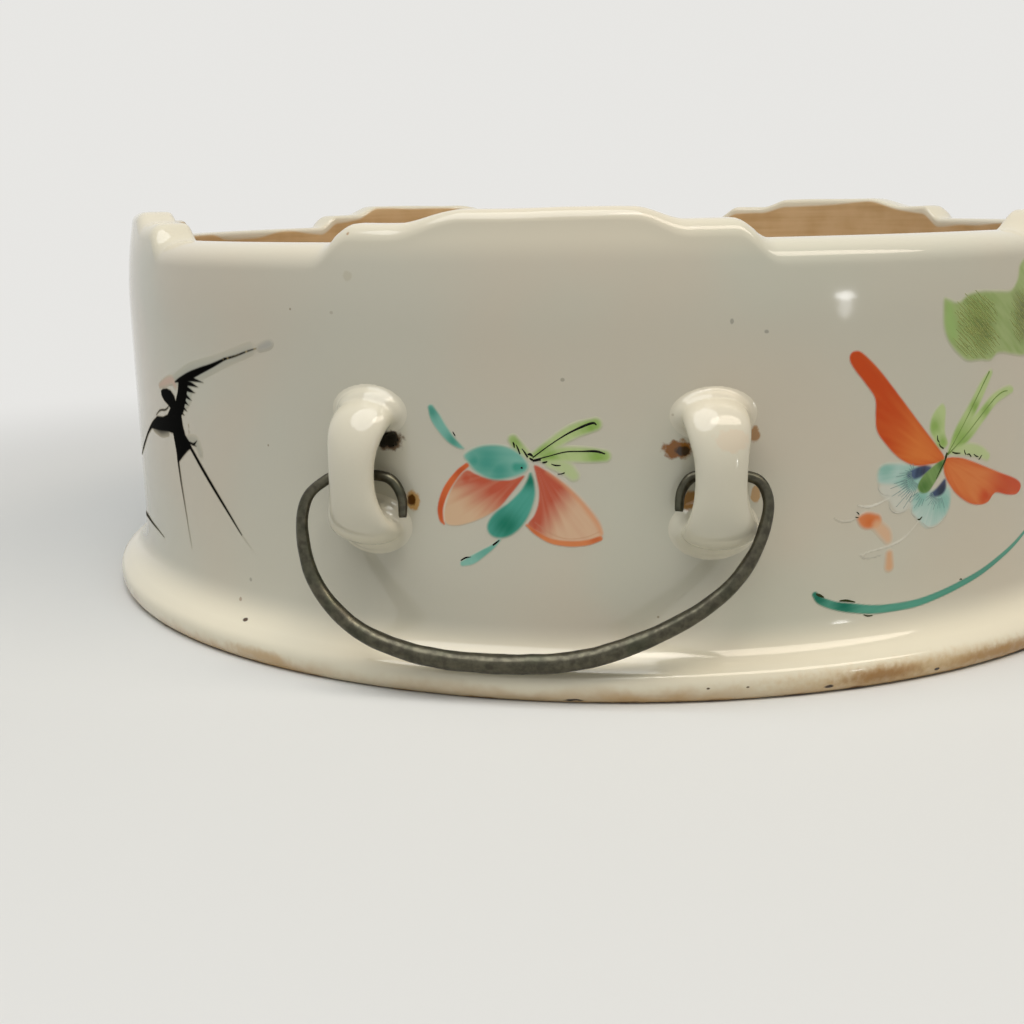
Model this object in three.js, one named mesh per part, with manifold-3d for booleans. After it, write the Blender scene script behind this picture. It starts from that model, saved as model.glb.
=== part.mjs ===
// Round porcelain warming bowl: a slab base, a cloud-cut wall, four ears on clay pads, two wire bails.
// Millimetres, +Z up. The origin is the middle of the underside, and the front bail faces -Y.
import * as THREE from "three";
import { mergeVertices } from "three/addons/utils/BufferGeometryUtils.js";
import Module from "manifold-3d";

const wasm = await Module();
wasm.setup();

// Base slab and its flared foot
const footSpread = 5.9; // how far the foot stands out past the wall
const footEdgeHeight = 3; // height of that widest part
const baseThickness = 7; // top of the slab, which is the floor of the bowl
const footUnderCut = 1.5; // how far the underside draws in from the foot's edge
const footTopRise = 0.4; // swell of the foot's upper face between its edge and the wall

// Wall
const wallRadius = 104.1;
const wallThickness = 9;
const wallFlare = 1.2; // how far the wall spreads where it meets the base
const flareHeight = 4;
const flareShares = [0, 0.45, 1]; // heights, as shares of the flare's, at which its curve has a point
const floorFillet = 4.5; // clay smoothed into the corner of wall and floor
const leanDepth = 13.5; // how far below the low rim the wall starts to draw in
const rimLean = 2.2; // how far it has drawn in at the top of a tab
const innerEdge = 0.8; // bevel of the rim's inner edge
const rimBends = [0, 35, 65, 90]; // degrees along the rounding of the outer edge
const filletBends = [0, 45, 90];

// Cloud-cut rim: five tabs, each with a shoulder on either side of its crest
const lowRim = 71.5;
const shoulderRise = 3.3;
const crestRise = 2;
const lowRimRound = 3.4; // rounding of the outer edge between tabs
const tabRound = 1.7; // the same on a tab's crest
const tabCorners = { foot: 1, shoulder: 0.87, step: 0.645, crest: 0.42 }; // shares of a tab's half angle
const tabs = [
  { angle: 0, halfAngle: 20.5 },
  { angle: 71.4, halfAngle: 20.5 },
  { angle: 145.9, halfAngle: 20.6 },
  { angle: 218.9, halfAngle: 20.5 },
  { angle: 293.9, halfAngle: 19 },
];

// Ears: a strap bent out from the wall and back, with a round pad of clay under each end
const earAngle = 15.3; // to either side of a bail's middle
const eyeBottom = 29.2;
const eyeHeight = 12.4;
const strapReach = 6.2; // from the wall to the middle of the strap
const upperBend = 1; // below 1 the strap turns more squarely, as it does at its lower end
const lowerBend = 0.6;
const strapHalfWidth = 4.05; // at the waist
const strapHalfThickness = 2.1;
const strapSquareness = 0.85; // below 1 the strap's middle run is straighter than an ellipse
const strapFlare = 2.6; // the higher, the sooner the strap widens away from its waist
const strapEndHalfWidth = 6; // where it meets the pads
const strapEndHalfThickness = 3;
const padHalfWidth = 6.5;
const padHalfHeight = 4.3;
const padRise = 2.2; // how far a pad stands proud of the wall
const padInEye = 1.2; // how far a pad shows past the strap's end, inside the eye
const rightEarRise = 0.6; // set by hand, the right ear of each pair sits this much higher

// Bails: tapered wire, bent by hand, hooked through a pair of ears
const wireInEye = 5.6; // height of the wire above the bottom of its left eye
const pivotRise = 1; // how much higher the wire runs in the right eye
const wireToWall = 0.05; // between the wire and the wall, where a hook starts
const bowPastFoot = 0.2; // how far the hanging bow's lowest point stands out past the foot
const bowOverFoot = 1.95; // the gap in height between the bow's wire there and the foot's widest line
const bowPastEar = 5.25; // how far the bow reaches beyond the outer side of each ear
const bow = [
  [-0.975, 0.11],
  [-1, 0.27],
  [-0.945, 0.56],
  [-0.775, 0.81],
  [-0.52, 0.95],
  [-0.18, 1],
  [0.19, 0.97],
  [0.53, 0.81],
  [0.78, 0.59],
  [0.9, 0.36],
  [0.94, 0.13],
]; // the hand-bent outline, left to right, in shares of the half width and of the drop
const leftHookInset = 3.55; // from the inner side of the left strap to the hook's tip
const leftHookLength = 6.6;
const rightHookInset = 2.55;
const rightHookLength = 5.4;
const hookBulge = 0.25; // how far a hook bows towards the bail's outside
const bendRun = 1.8; // the wire's first bend outside an ear, along the pivot line
const bendDrop = 0.9;
const thinRun = 20; // wire that stays thin, from its tip through the hook and the eye
const eyeWireRadius = 0.9;
const hookTipRadius = 0.7;
const bowRadius = 1.7; // the wire at the middle of the bow

const clearance = 0.3; // between pieces that seat on each other

const radians = THREE.MathUtils.degToRad;
const fullTurn = 360; // degrees
const halfTurn = 180;

// Sizes that follow from the ones above
const footRadius = wallRadius + footSpread;
const innerRadius = wallRadius - wallThickness;
const rimLeanStart = lowRim - leanDepth;
const eyeTop = eyeBottom + eyeHeight;
const earPlace = (wallRadius + strapReach) * Math.sin(radians(earAngle)); // to either side of the middle
const leftHook = { tip: earPlace - strapHalfWidth - leftHookInset, length: leftHookLength };
const rightHook = { tip: earPlace - strapHalfWidth - rightHookInset, length: rightHookLength };
const pivotOut = Math.sqrt(wallRadius ** 2 - leftHook.tip ** 2) + wireToWall + eyeWireRadius;
const pivotHeight = eyeBottom + wireInEye + pivotRise / 2;
const bailDrop = new THREE.Vector2(
  footRadius + bowPastFoot - pivotOut,
  pivotHeight - footEdgeHeight - bowOverFoot - bowRadius,
); // from the pivot line out and down to the lowest point of the bow
const bailHalfWidth = earPlace + strapHalfWidth + bowPastEar;

// Fineness of the round surfaces
const baseSides = 96;
const padSides = 20;
const strapSides = 16;
const strapSteps = 16;
const wireSides = 8;
const wireSteps = 64;
const edgeSteps = 3;
const coveSteps = 4;
const domeSteps = 5;
const stepDegrees = { steep: 1, level: 4 };
const levelTolerance = 0.01; // a rim that climbs less than this is level
const smallTurn = 0.005; // radians of the strap's bend over which its direction is taken

const glaze = new THREE.MeshStandardMaterial({ color: 0xe4e2d4, roughness: 0.12, metalness: 0 });
const biscuit = new THREE.MeshStandardMaterial({ color: 0xd9d2bd, roughness: 0.35, metalness: 0 });
const darkWire = new THREE.MeshStandardMaterial({ color: 0x3a3a36, roughness: 0.4, metalness: 0.9 });

function piece(name, geometry, material) {
  const mesh = new THREE.Mesh(geometry, material);
  mesh.name = name;
  return mesh;
}

function closedGeometry(positions, indices) {
  const geometry = new THREE.BufferGeometry();
  geometry.setAttribute("position", new THREE.Float32BufferAttribute(positions, 3));
  geometry.setIndex(indices);
  return geometry;
}

// Rings of points skinned one to the next; the last ring joins the first when the loop is closed,
// and otherwise each end gets a fan about its middle.
function skin(rings, closed) {
  const sides = rings[0].length;
  const positions = rings.flat().flatMap((point) => point.toArray());
  const indices = [];
  const joints = closed ? rings.length : rings.length - 1;
  for (let ring = 0; ring < joints; ring++) {
    const here = ring * sides;
    const next = ((ring + 1) % rings.length) * sides;
    for (let side = 0; side < sides; side++) {
      const beside = (side + 1) % sides;
      indices.push(here + side, here + beside, next + beside);
      indices.push(here + side, next + beside, next + side);
    }
  }
  if (!closed) {
    for (const ring of [0, rings.length - 1]) {
      const middle = rings[ring].reduce((sum, point) => sum.add(point), new THREE.Vector3());
      const centre = positions.length / 3;
      positions.push(...middle.divideScalar(sides).toArray());
      for (let side = 0; side < sides; side++) {
        const edge = [ring * sides + side, ring * sides + ((side + 1) % sides)];
        if (ring === 0) edge.reverse();
        indices.push(centre, ...edge);
      }
    }
  }
  return closedGeometry(positions, indices);
}

function solid(geometry, matrix = new THREE.Matrix4()) {
  const bare = geometry.clone().applyMatrix4(matrix);
  bare.deleteAttribute("normal");
  bare.deleteAttribute("uv");
  const merged = mergeVertices(bare, 1e-4);
  const vertProperties = new Float32Array(merged.attributes.position.array);
  const triVerts = new Uint32Array(merged.index.array);
  return new wasm.Manifold(new wasm.Mesh({ numProp: 3, vertProperties, triVerts }));
}

function geometryOf(manifold) {
  const { vertProperties, triVerts } = manifold.getMesh();
  return closedGeometry([...vertProperties], [...triVerts]);
}

function makeBase() {
  const underside = new THREE.Vector2(footRadius - footUnderCut, 0);
  const footEdge = new THREE.Vector2(footRadius, footEdgeHeight);
  const wallFoot = new THREE.Vector2(wallRadius + wallFlare, baseThickness);
  const bulge = new THREE.Vector2(footRadius, (footEdgeHeight + baseThickness) / 2 + footTopRise);
  const edge = new THREE.QuadraticBezierCurve(underside, new THREE.Vector2(footRadius, 0), footEdge);
  const cove = new THREE.QuadraticBezierCurve(footEdge, bulge, wallFoot);
  const profile = [
    new THREE.Vector2(0, 0),
    ...edge.getPoints(edgeSteps),
    ...cove.getPoints(coveSteps).slice(1), // the edge's curve already holds the first point
    new THREE.Vector2(0, baseThickness),
  ];
  const slab = new THREE.LatheGeometry(profile, baseSides);
  slab.rotateX(Math.PI / 2); // the lathe turns about Y, the bowl stands along Z
  return piece("base_slab", slab, biscuit);
}

// 0 up to 1 as share goes from 0 to 1, with level ends
function ease(share) {
  return THREE.MathUtils.smoothstep(share, 0, 1);
}

function rimRise(angle) {
  for (const tab of tabs) {
    const turn = THREE.MathUtils.euclideanModulo(angle - tab.angle + halfTurn, fullTurn) - halfTurn;
    const share = Math.abs(turn) / tab.halfAngle;
    if (share >= tabCorners.foot) continue;
    const { foot, shoulder, step, crest } = tabCorners;
    const onShoulder = ease((foot - share) / (foot - shoulder));
    const onCrest = ease((step - share) / (step - crest));
    return shoulderRise * onShoulder + crestRise * onCrest;
  }
  return 0;
}

// Angles at which the wall has a section: close together where the rim climbs
function wallAngles() {
  const corners = [];
  for (const tab of tabs) {
    for (const share of Object.values(tabCorners)) {
      for (const side of [-1, 1]) {
        corners.push(THREE.MathUtils.euclideanModulo(tab.angle + side * share * tab.halfAngle, fullTurn));
      }
    }
  }
  corners.sort((a, b) => a - b);
  const angles = [];
  corners.forEach((from, index) => {
    const to = index + 1 < corners.length ? corners[index + 1] : corners[0] + fullTurn;
    const climbs = Math.abs(rimRise(from) - rimRise(to)) > levelTolerance;
    const steps = Math.ceil((to - from) / (climbs ? stepDegrees.steep : stepDegrees.level));
    for (let step = 0; step < steps; step++) angles.push(from + ((to - from) * step) / steps);
  });
  return angles;
}

function wallSection(angle) {
  const rise = rimRise(angle);
  const top = lowRim + rise;
  const crestTop = lowRim + shoulderRise + crestRise;
  const round = THREE.MathUtils.lerp(lowRimRound, tabRound, rise / (shoulderRise + crestRise));
  const lean = (height) => rimLean * ((height - rimLeanStart) / (crestTop - rimLeanStart)) ** 2;
  const roundRadius = wallRadius - lean(top - round) - round;
  const outline = flareShares.map((share) => [
    wallRadius + wallFlare * (1 - share) ** 2,
    baseThickness + flareHeight * share,
  ]);
  outline.push([wallRadius, rimLeanStart]);
  for (const bend of rimBends) {
    outline.push([
      roundRadius + round * Math.cos(radians(bend)),
      top - round + round * Math.sin(radians(bend)),
    ]);
  }
  outline.push([innerRadius + innerEdge, top], [innerRadius, top - innerEdge]);
  for (const bend of filletBends) {
    outline.push([
      innerRadius - floorFillet * (1 - Math.cos(radians(bend))),
      baseThickness + floorFillet * (1 - Math.sin(radians(bend))),
    ]);
  }
  const along = radians(angle - 90); // a tab at angle 0 faces -Y
  const [acrossShare, depthShare] = [Math.cos(along), Math.sin(along)];
  return outline.map(([radius, z]) => new THREE.Vector3(radius * acrossShare, radius * depthShare, z));
}

function makeWall() {
  const sections = wallAngles().reverse().map(wallSection); // clockwise, so that the faces point out
  return piece("wall", skin(sections, true), glaze);
}

// A pad lies flat against the wall, in an ear's own frame. With a spread it is the space that a strap
// leaves around the pad.
function padGeometry(spread) {
  const halfHeight = padHalfHeight + spread;
  const dome = new THREE.EllipseCurve(0, 0, halfHeight, padRise + spread, 0, Math.PI / 2);
  const profile = [new THREE.Vector2(0, 0), ...dome.getPoints(domeSteps)];
  profile.at(-1).x = 0;
  const pad = new THREE.LatheGeometry(profile, padSides);
  pad.scale((padHalfWidth + spread) / halfHeight, 1, 1);
  pad.rotateX(Math.PI); // the lathe's dome rises along +Y, the pad's faces -Y
  return pad;
}

const padHeights = {
  upper: eyeTop + padHalfHeight - padInEye,
  lower: eyeBottom - padHalfHeight + padInEye,
};

function padPlace(height) {
  return new THREE.Matrix4().makeTranslation(0, -wallRadius - clearance, height);
}

// The strap's middle line bends out from the upper pad, runs down and bends back to the lower one.
function strapSolid() {
  const middle = (eyeTop + eyeBottom) / 2;
  const halfHeight = (eyeTop - eyeBottom) / 2 + strapEndHalfThickness;
  const reach = (turn) => strapReach * Math.sin(turn) ** (Math.cos(turn) > 0 ? upperBend : lowerBend);
  const squared = (cosine) => Math.sign(cosine) * Math.abs(cosine) ** strapSquareness;
  const height = (turn) => middle + halfHeight * squared(Math.cos(turn));
  const centre = (turn) => new THREE.Vector3(0, -wallRadius - reach(turn), height(turn));
  const rings = [];
  for (let step = 0; step <= strapSteps; step++) {
    const turn = THREE.MathUtils.lerp(2 * smallTurn, Math.PI - 2 * smallTurn, step / strapSteps);
    const tangent = centre(turn + smallTurn).sub(centre(turn - smallTurn)).normalize();
    const across = new THREE.Vector3(1, 0, 0);
    const through = new THREE.Vector3().crossVectors(tangent, across);
    const narrow = Math.sin(turn) ** strapFlare;
    const thin = Math.sin(turn);
    const halfWidth = THREE.MathUtils.lerp(strapEndHalfWidth, strapHalfWidth, narrow);
    const halfThickness = THREE.MathUtils.lerp(strapEndHalfThickness, strapHalfThickness, thin);
    const ring = [];
    for (let side = 0; side < strapSides; side++) {
      const round = (2 * Math.PI * side) / strapSides;
      ring.push(
        centre(turn)
          .addScaledVector(across, halfWidth * Math.cos(round))
          .addScaledVector(through, halfThickness * Math.sin(round)),
      );
    }
    rings.push(ring);
  }
  return solid(skin(rings, false));
}

function makeEar(name, angle, rise) {
  const ear = new THREE.Group();
  ear.rotation.z = radians(angle);
  ear.position.z = rise;
  const freeRadius = wallRadius + clearance;
  const around = new THREE.CylinderGeometry(freeRadius, freeRadius, lowRim, 2 * baseSides);
  around.rotateX(Math.PI / 2);
  around.translate(0, 0, lowRim / 2);
  let strap = strapSolid().subtract(solid(around));
  for (const [place, height] of Object.entries(padHeights)) {
    const pad = piece(`${name}_${place}_pad`, padGeometry(0).applyMatrix4(padPlace(height)), glaze);
    ear.add(pad);
    strap = strap.subtract(solid(padGeometry(clearance), padPlace(height)));
  }
  const largest = strap.decompose().sort((a, b) => b.volume() - a.volume())[0];
  ear.add(piece(`${name}_strap`, geometryOf(largest), glaze));
  return ear;
}

// The middle line of a hook and of the wire in its eye, from the tip to the first bend outside the ear.
// It lies in the bail's own frame: the pivot line is X, and the bail hangs along -Z.
function wireEnd(side, hook) {
  const innerBend = earPlace - strapHalfWidth - clearance;
  const outerBend = earPlace + strapHalfWidth;
  const points = [
    [hook.tip, -hook.length],
    [hook.tip + hookBulge, -hook.length / 2],
    [(hook.tip + innerBend) / 2, -eyeWireRadius],
    [innerBend, 0],
    [outerBend, 0],
    [outerBend + bendRun, -bendDrop],
  ];
  return points.map(([x, z]) => [side * x, z]);
}

function bailPath() {
  const points = [
    ...wireEnd(-1, leftHook),
    ...bow.map(([across, down]) => [across * bailHalfWidth, -down * bailDrop.length()]),
    ...wireEnd(1, rightHook).reverse(),
  ];
  return new THREE.CatmullRomCurve3(points.map(([x, z]) => new THREE.Vector3(x, 0, z)));
}

function makeBail(name) {
  const path = bailPath();
  const length = path.getLength();
  const hookShare = rightHook.length / length;
  const thinShare = thinRun / length;
  const radiusAt = (share) => {
    const fromEnd = Math.min(share, 1 - share);
    const { lerp, clamp } = THREE.MathUtils;
    const thin = lerp(hookTipRadius, eyeWireRadius, clamp(fromEnd / hookShare, 0, 1));
    const swell = clamp((fromEnd - thinShare) / (0.5 - thinShare), 0, 1);
    return lerp(thin, bowRadius, Math.sin((swell * Math.PI) / 2));
  };
  const rings = [];
  for (let step = 0; step <= wireSteps; step++) {
    const share = step / wireSteps;
    const centre = path.getPointAt(share);
    const across = new THREE.Vector3(0, 1, 0);
    const outward = new THREE.Vector3().crossVectors(across, path.getTangentAt(share));
    const ring = [];
    for (let side = 0; side < wireSides; side++) {
      const round = (2 * Math.PI * side) / wireSides;
      ring.push(
        centre
          .clone()
          .addScaledVector(outward, radiusAt(share) * Math.cos(round))
          .addScaledVector(across, radiusAt(share) * Math.sin(round)),
      );
    }
    rings.push(ring);
  }
  return piece(name, skin(rings, false), darkWire);
}

// One side's handle: two ears and the bail that hangs in them
function makeHandle(side, facing) {
  const handle = new THREE.Group();
  handle.rotation.z = radians(facing);
  handle.add(makeEar(`${side}_left_ear`, -earAngle, 0));
  handle.add(makeEar(`${side}_right_ear`, earAngle, rightEarRise));
  const earSpan = 2 * wallRadius * Math.sin(radians(earAngle));
  const pivotLine = new THREE.Group(); // it climbs towards the higher ear
  pivotLine.position.set(0, -pivotOut, pivotHeight);
  pivotLine.rotation.y = -Math.asin(pivotRise / earSpan);
  const hang = new THREE.Group();
  hang.rotation.x = -Math.atan2(bailDrop.x, bailDrop.y);
  hang.add(makeBail(`${side}_bail`));
  pivotLine.add(hang);
  handle.add(pivotLine);
  return handle;
}

const bowl = new THREE.Group();
bowl.add(makeBase());
bowl.add(makeWall());
bowl.add(makeHandle("front", 0));
bowl.add(makeHandle("back", halfTurn));

export default bowl;
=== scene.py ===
import math

import bpy
import numpy as np
from mathutils import Matrix, Vector, noise


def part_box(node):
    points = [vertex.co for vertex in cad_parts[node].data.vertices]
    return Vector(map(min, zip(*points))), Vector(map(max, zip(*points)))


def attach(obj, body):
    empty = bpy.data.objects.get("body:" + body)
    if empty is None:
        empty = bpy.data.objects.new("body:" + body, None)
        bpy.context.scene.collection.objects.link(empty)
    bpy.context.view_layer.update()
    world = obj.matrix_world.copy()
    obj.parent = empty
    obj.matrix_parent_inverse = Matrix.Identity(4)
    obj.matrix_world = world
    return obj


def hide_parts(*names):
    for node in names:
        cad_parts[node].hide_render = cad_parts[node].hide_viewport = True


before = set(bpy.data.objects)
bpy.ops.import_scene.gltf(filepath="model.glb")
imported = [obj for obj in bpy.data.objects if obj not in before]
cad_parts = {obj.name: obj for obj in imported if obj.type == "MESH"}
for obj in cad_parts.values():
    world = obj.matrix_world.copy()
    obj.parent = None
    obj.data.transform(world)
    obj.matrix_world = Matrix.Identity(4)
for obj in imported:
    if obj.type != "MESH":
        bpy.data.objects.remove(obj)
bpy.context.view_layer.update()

mm = 0.001


# small helpers

def linearColour(code):
    # an sRGB hex colour as the linear one that the sockets take
    parts = [int(code[i:i + 2], 16) / 255 for i in (1, 3, 5)]
    return [p / 12.92 if p <= 0.04045 else ((p + 0.055) / 1.055) ** 2.4 for p in parts] + [1]


def addNode(tree, kind, inputs=None, output=0, **settings):
    # a shader node with its sockets set or linked; gives back one of its outputs, where it has any
    node = tree.nodes.new("ShaderNode" + kind)
    for key, value in settings.items():
        setattr(node, key, value)
    for socket, value in (inputs or {}).items():
        if isinstance(value, bpy.types.NodeSocket):
            tree.links.new(value, node.inputs[socket])
        else:
            node.inputs[socket].default_value = value
    return node.outputs[output] if len(node.outputs) else node


def smoothstep(low, high, value):
    share = np.clip((value - low) / (high - low), 0, 1)
    return share * share * (3 - 2 * share)


def softNoise(x, y, z, size):
    return noise.noise(Vector((x, y, z)) / size)


def smoothLine(points, steps, closed=False):
    # Catmull-Rom through the points, with a width or any other number carried along
    points = np.array(points, float)
    if closed:
        padded = np.vstack([points[-1:], points, points[:2]])
    else:
        padded = np.vstack([2 * points[:1] - points[1:2], points, 2 * points[-1:] - points[-2:-1]])
    t = np.linspace(0, 1, steps, endpoint=False)[:, None]
    runs = []
    for a, b, c, d in zip(padded, padded[1:], padded[2:], padded[3:]):
        runs.append(0.5 * (2 * b + (c - a) * t + (2 * a - 5 * b + 4 * c - d) * t ** 2
                           + (3 * b - a - 3 * c + d) * t ** 3))
    line = np.vstack(runs)
    return line if closed else np.vstack([line, points[-1:]])


def makePiece(name, vertices, faces, material):
    mesh = bpy.data.meshes.new(name)
    mesh.from_pydata([tuple(v) for v in np.asarray(vertices) * mm], [], faces)
    mesh.materials.append(material)
    mesh.polygons.foreach_set("use_smooth", [True] * len(mesh.polygons))
    mesh.update()
    piece = bpy.data.objects.new(name, mesh)
    bpy.context.scene.collection.objects.link(piece)
    return piece


def gridFaces(rows, columns, closedRows=False, closedColumns=False):
    faces = []
    for row in range(rows if closedRows else rows - 1):
        nextRow = (row + 1) % rows
        for column in range(columns if closedColumns else columns - 1):
            nextColumn = (column + 1) % columns
            faces.append((row * columns + column, row * columns + nextColumn,
                          nextRow * columns + nextColumn, nextRow * columns + column))
    return faces


def tubeFaces(rings, sides, closedColumns=True):
    # the same with a flat cap on the first ring and on the last
    faces = gridFaces(rings, sides, closedColumns=closedColumns)
    faces.append(tuple(range(sides))[::-1])
    faces.append(tuple(range((rings - 1) * sides, rings * sides)))
    return faces


# the bowl

bowl = {
    "footRadius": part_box("base_slab")[1][0] / mm,
    "floorHeight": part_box("base_slab")[1][2] / mm,
    "crestHeight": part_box("wall")[1][2] / mm,
    "wallRadius": 104.1,
    "wallThickness": 9,
    "lowRim": 71.5,
    "shoulderRise": 3.3,  # first step of a tab; its crest takes the rest
    "tabCorners": (1.03, 0.84, 0.645, 0.42),  # foot, shoulder, step and crest, as shares of the half angle
    "leftCrest": 0.3,  # the knife ran out more slowly on the left of each crest
    "tabs": ((0, 20.5), (71.4, 20.5), (145.9, 20.6), (218.9, 20.5), (293.9, 19)),  # middle, half angle
    "lowRimRound": 4.6,  # the glaze lies soft on the rim between tabs
    "lowRimDepth": 1.25,  # and rounder towards the inside
    "tabRound": 2.4,
    "rimCrown": 0.04,
    "headroom": 0.05,  # the uneven rim stays this far inside the solid's height
    "rimLean": 2.2,  # how far the wall leans in at the top
    "leanStart": 58,
    "footTop": 13.5,  # where the wall starts to flare into the foot
    "innerEdge": 1.1,
    "innerStart": 2.4,  # how far below the rim the straight inside starts
    "floorFillet": 4.5,
    "glazeLap": 0.9,  # how far the glaze runs over the rim and down inside
    "wellGlazed": -3,
    "throwingWobble": 0.12,  # how far the thrown wall strays from round
    "throwingPitch": 38,
    "cutWobble": 0.28,  # and the hand-cut rim from its pattern
    "cutPitch": 9,
    "cutDepth": 0.12,
    "liftPitch": 16,
    "toolMarks": 0.1,  # and the bare inside from a clean turn
    "toolMarkPitch": 2.2,
    "columns": 900,
}
wall, foot = bowl["wallRadius"], bowl["footRadius"]
footTurn = smoothLine([(foot - 3.2, 0), (foot - 1.5, 0), (foot - 0.35, 1.1), (foot, 2.9), (foot - 0.4, 4.3),
                       (foot - 1.6, 5.3), (foot - 3.4, 6.4), (wall + 1, 8.1), (wall + 0.25, 10.4),
                       (wall, bowl["footTop"])], 4)
footTurn = np.column_stack([np.minimum(footTurn[:, 0], foot), np.maximum(footTurn[:, 1], 0)])


def rimRise(angle):
    foot, shoulder, step, crest = bowl["tabCorners"]
    crestRise = bowl["crestHeight"] - bowl["lowRim"] - bowl["shoulderRise"]
    for middle, halfAngle in bowl["tabs"]:
        turn = (angle - middle + 180) % 360 - 180
        share = abs(turn) / halfAngle
        if share < foot:
            crest = bowl["leftCrest"] if turn < 0 else crest
            onShoulder = smoothstep(0, foot - shoulder, foot - share)
            onCrest = smoothstep(0, step - crest, step - share)
            return float(bowl["shoulderRise"] * onShoulder + crestRise * onCrest)
    return 0.0


def wallStray(x, y, height):
    # slow waviness of a thrown wall; x and y are a direction
    stray = softNoise(90 * x, 90 * y, height, bowl["throwingPitch"])
    return bowl["throwingWobble"] * stray * smoothstep(12, 20, height)


def rimLean(height):
    leaning = (height - bowl["leanStart"]) / (bowl["crestHeight"] - bowl["leanStart"])
    return bowl["rimLean"] * min(max(0, leaning), 1) ** 2


def corner(x, z, wide, tall, start, end, count):
    # part of a rounded corner, where a straight at x turns into a level at z; start and end in degrees
    return [(x - wide * (1 - math.cos(turn)), z - tall * (1 - math.sin(turn)))
            for turn in np.radians(np.linspace(start, end, count))]


def bowlOutline(rise, lift):
    # (radius, height) from the middle of the underside, out and up the wall and over the rim;
    # then the same down the inside to the middle of the floor
    b = bowl
    inner = wall - b["wallThickness"]
    share = rise / (b["crestHeight"] - b["lowRim"])
    top = min(b["lowRim"] + rise + lift * min(1, share * 3), b["crestHeight"] - b["headroom"])
    softness = b["lowRimRound"] + (b["tabRound"] - b["lowRimRound"]) * share
    outside = [(radius, 0) for radius in (0, 30, 60, 90)] + [tuple(p) for p in footTurn]
    outside += [(wall, height) for height in np.linspace(b["footTop"] + 2, b["leanStart"], 26)]
    for height in np.linspace(b["leanStart"], top - softness, 10)[1:]:
        outside.append((wall - rimLean(height), height))
    edge = outside[-1][0]
    depth = softness * (b["lowRimDepth"] if share < 0.3 else 1)
    outside += corner(edge, top, depth, softness, 8, 90, 11)
    for part in (0.35, 0.7):
        outside.append((edge - depth + (inner + b["innerEdge"] - edge + depth) * part, top + b["rimCrown"]))
    inside = corner(inner, top, -b["innerEdge"], b["innerEdge"], 90, 0, 6)
    fillet, floor = b["floorFillet"], b["floorHeight"]
    inside += [(inner, height) for height in np.linspace(top - b["innerStart"], floor + fillet + 2, 26)]
    inside += corner(inner, floor, fillet, -fillet, 0, 90, 7)
    inside += [(radius, floor) for radius in (80, 65, 50, 35, 20, 8, 0)]
    return outside, inside, top


def makeBowl(material):
    b = bowl
    vertices = []
    bareness = []  # mm below the edge of the glaze
    columns = b["columns"]
    for column in range(columns):
        angle = 360 * column / columns
        x, y = math.sin(math.radians(angle)), -math.cos(math.radians(angle))
        cut = b["cutWobble"] * softNoise(100 * x, 100 * y, 0, b["cutPitch"])
        lift = b["cutWobble"] * softNoise(100 * x, 100 * y, 50, b["liftPitch"]) - b["cutDepth"]
        outside, inside, top = bowlOutline(rimRise(angle + cut), lift)
        for radius, height in outside:
            stray = wallStray(x, y, height)
            vertices.append(((radius + stray) * x, (radius + stray) * y, height))
            bareness.append(b["wellGlazed"])
        for radius, height in inside:
            turned = height > b["floorHeight"] + 1
            stray = b["toolMarks"] * softNoise(8 * x, 8 * y, height, b["toolMarkPitch"]) if turned else 0
            vertices.append(((radius + stray) * x, (radius + stray) * y, height))
            bareness.append(top - height - b["glazeLap"])
    rows = len(vertices) // columns
    piece = makePiece("glazed_bowl", vertices, gridFaces(columns, rows, closedRows=True), material)
    piece.data.attributes.new("belowGlaze", "FLOAT", "POINT").data.foreach_set("value", bareness)
    return piece


def wallPoint(along, height, proud):
    # a point on the outside of the wall: along is millimetres round it from the middle of the front
    angle = along / wall
    x, y = math.sin(angle), -math.cos(angle)
    radius = wall - rimLean(height) + wallStray(x, y, height) + proud
    if height < bowl["footTop"]:
        radius += np.interp(height, footTurn[6:, 1], footTurn[6:, 0]) - wall
    return radius * x, radius * y, height


# materials

glaze = {
    "pale": "#CBC8B7",  # high-fired glaze, dipped: glossy, grey-white, faintly green where it is thick
    "warm": "#CEC6B3",
    "cool": "#C8C9B8",
    "foot": "#E6DFC8",  # the same glaze pooled thick and creamy on the foot and along the rim; lighter there also as painted light on these upward faces
    "thin": "#BE9B69",  # and run thin and tan at the foot's edge
    "speck": "#8C7E62",
    # patches: mm across, detail, the noise where they start and are full, and what they go from and to
    "warmPatches": (48, 1, 0.4, 0.64),
    "coolPatches": (38.4, 2, 0.5, 0.72, 0, 0.7),
    "speckPatches": (11, 0, 0.56, 0.6),
    "thinPatches": (24, 1, 0.35, 0.6, 0.45, 1),
    "lapRuns": (30, 1, 0.35, 0.65, -1.2, 0.4),  # mm that the glaze ran further down inside
    "fraying": (6, 3, 0.3, 0.7, -0.7 * mm, 0.7 * mm),  # of the glaze's edges round the foot
    "speckSpacing": 9,
    "speckFade": (0.016, 0.03, 0.7, 0),  # by the distance from a speck's middle, as a share of the spacing
    # the foot and the rim take the cream: partly pooled glaze, partly painted light on faces turned up to the
    # lamps
    "footFade": (6 * mm, 11.5 * mm, 1, 0),  # by the height above the table
    "rimFade": (68 * mm, 72.5 * mm, 0, 0.55),
    "thinFade": (0.4 * mm, 3.4 * mm, 0.9, 0),
    "lapFade": (-0.4, 0.4),  # mm over which bare clay takes over from the glaze inside
    "earCream": 0.45,
    "roughness": 0.085,
    "index": 1.52,
    "ripple": 0.02,  # mm of waviness left by the dip
    "rippleSize": 9,
}
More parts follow.
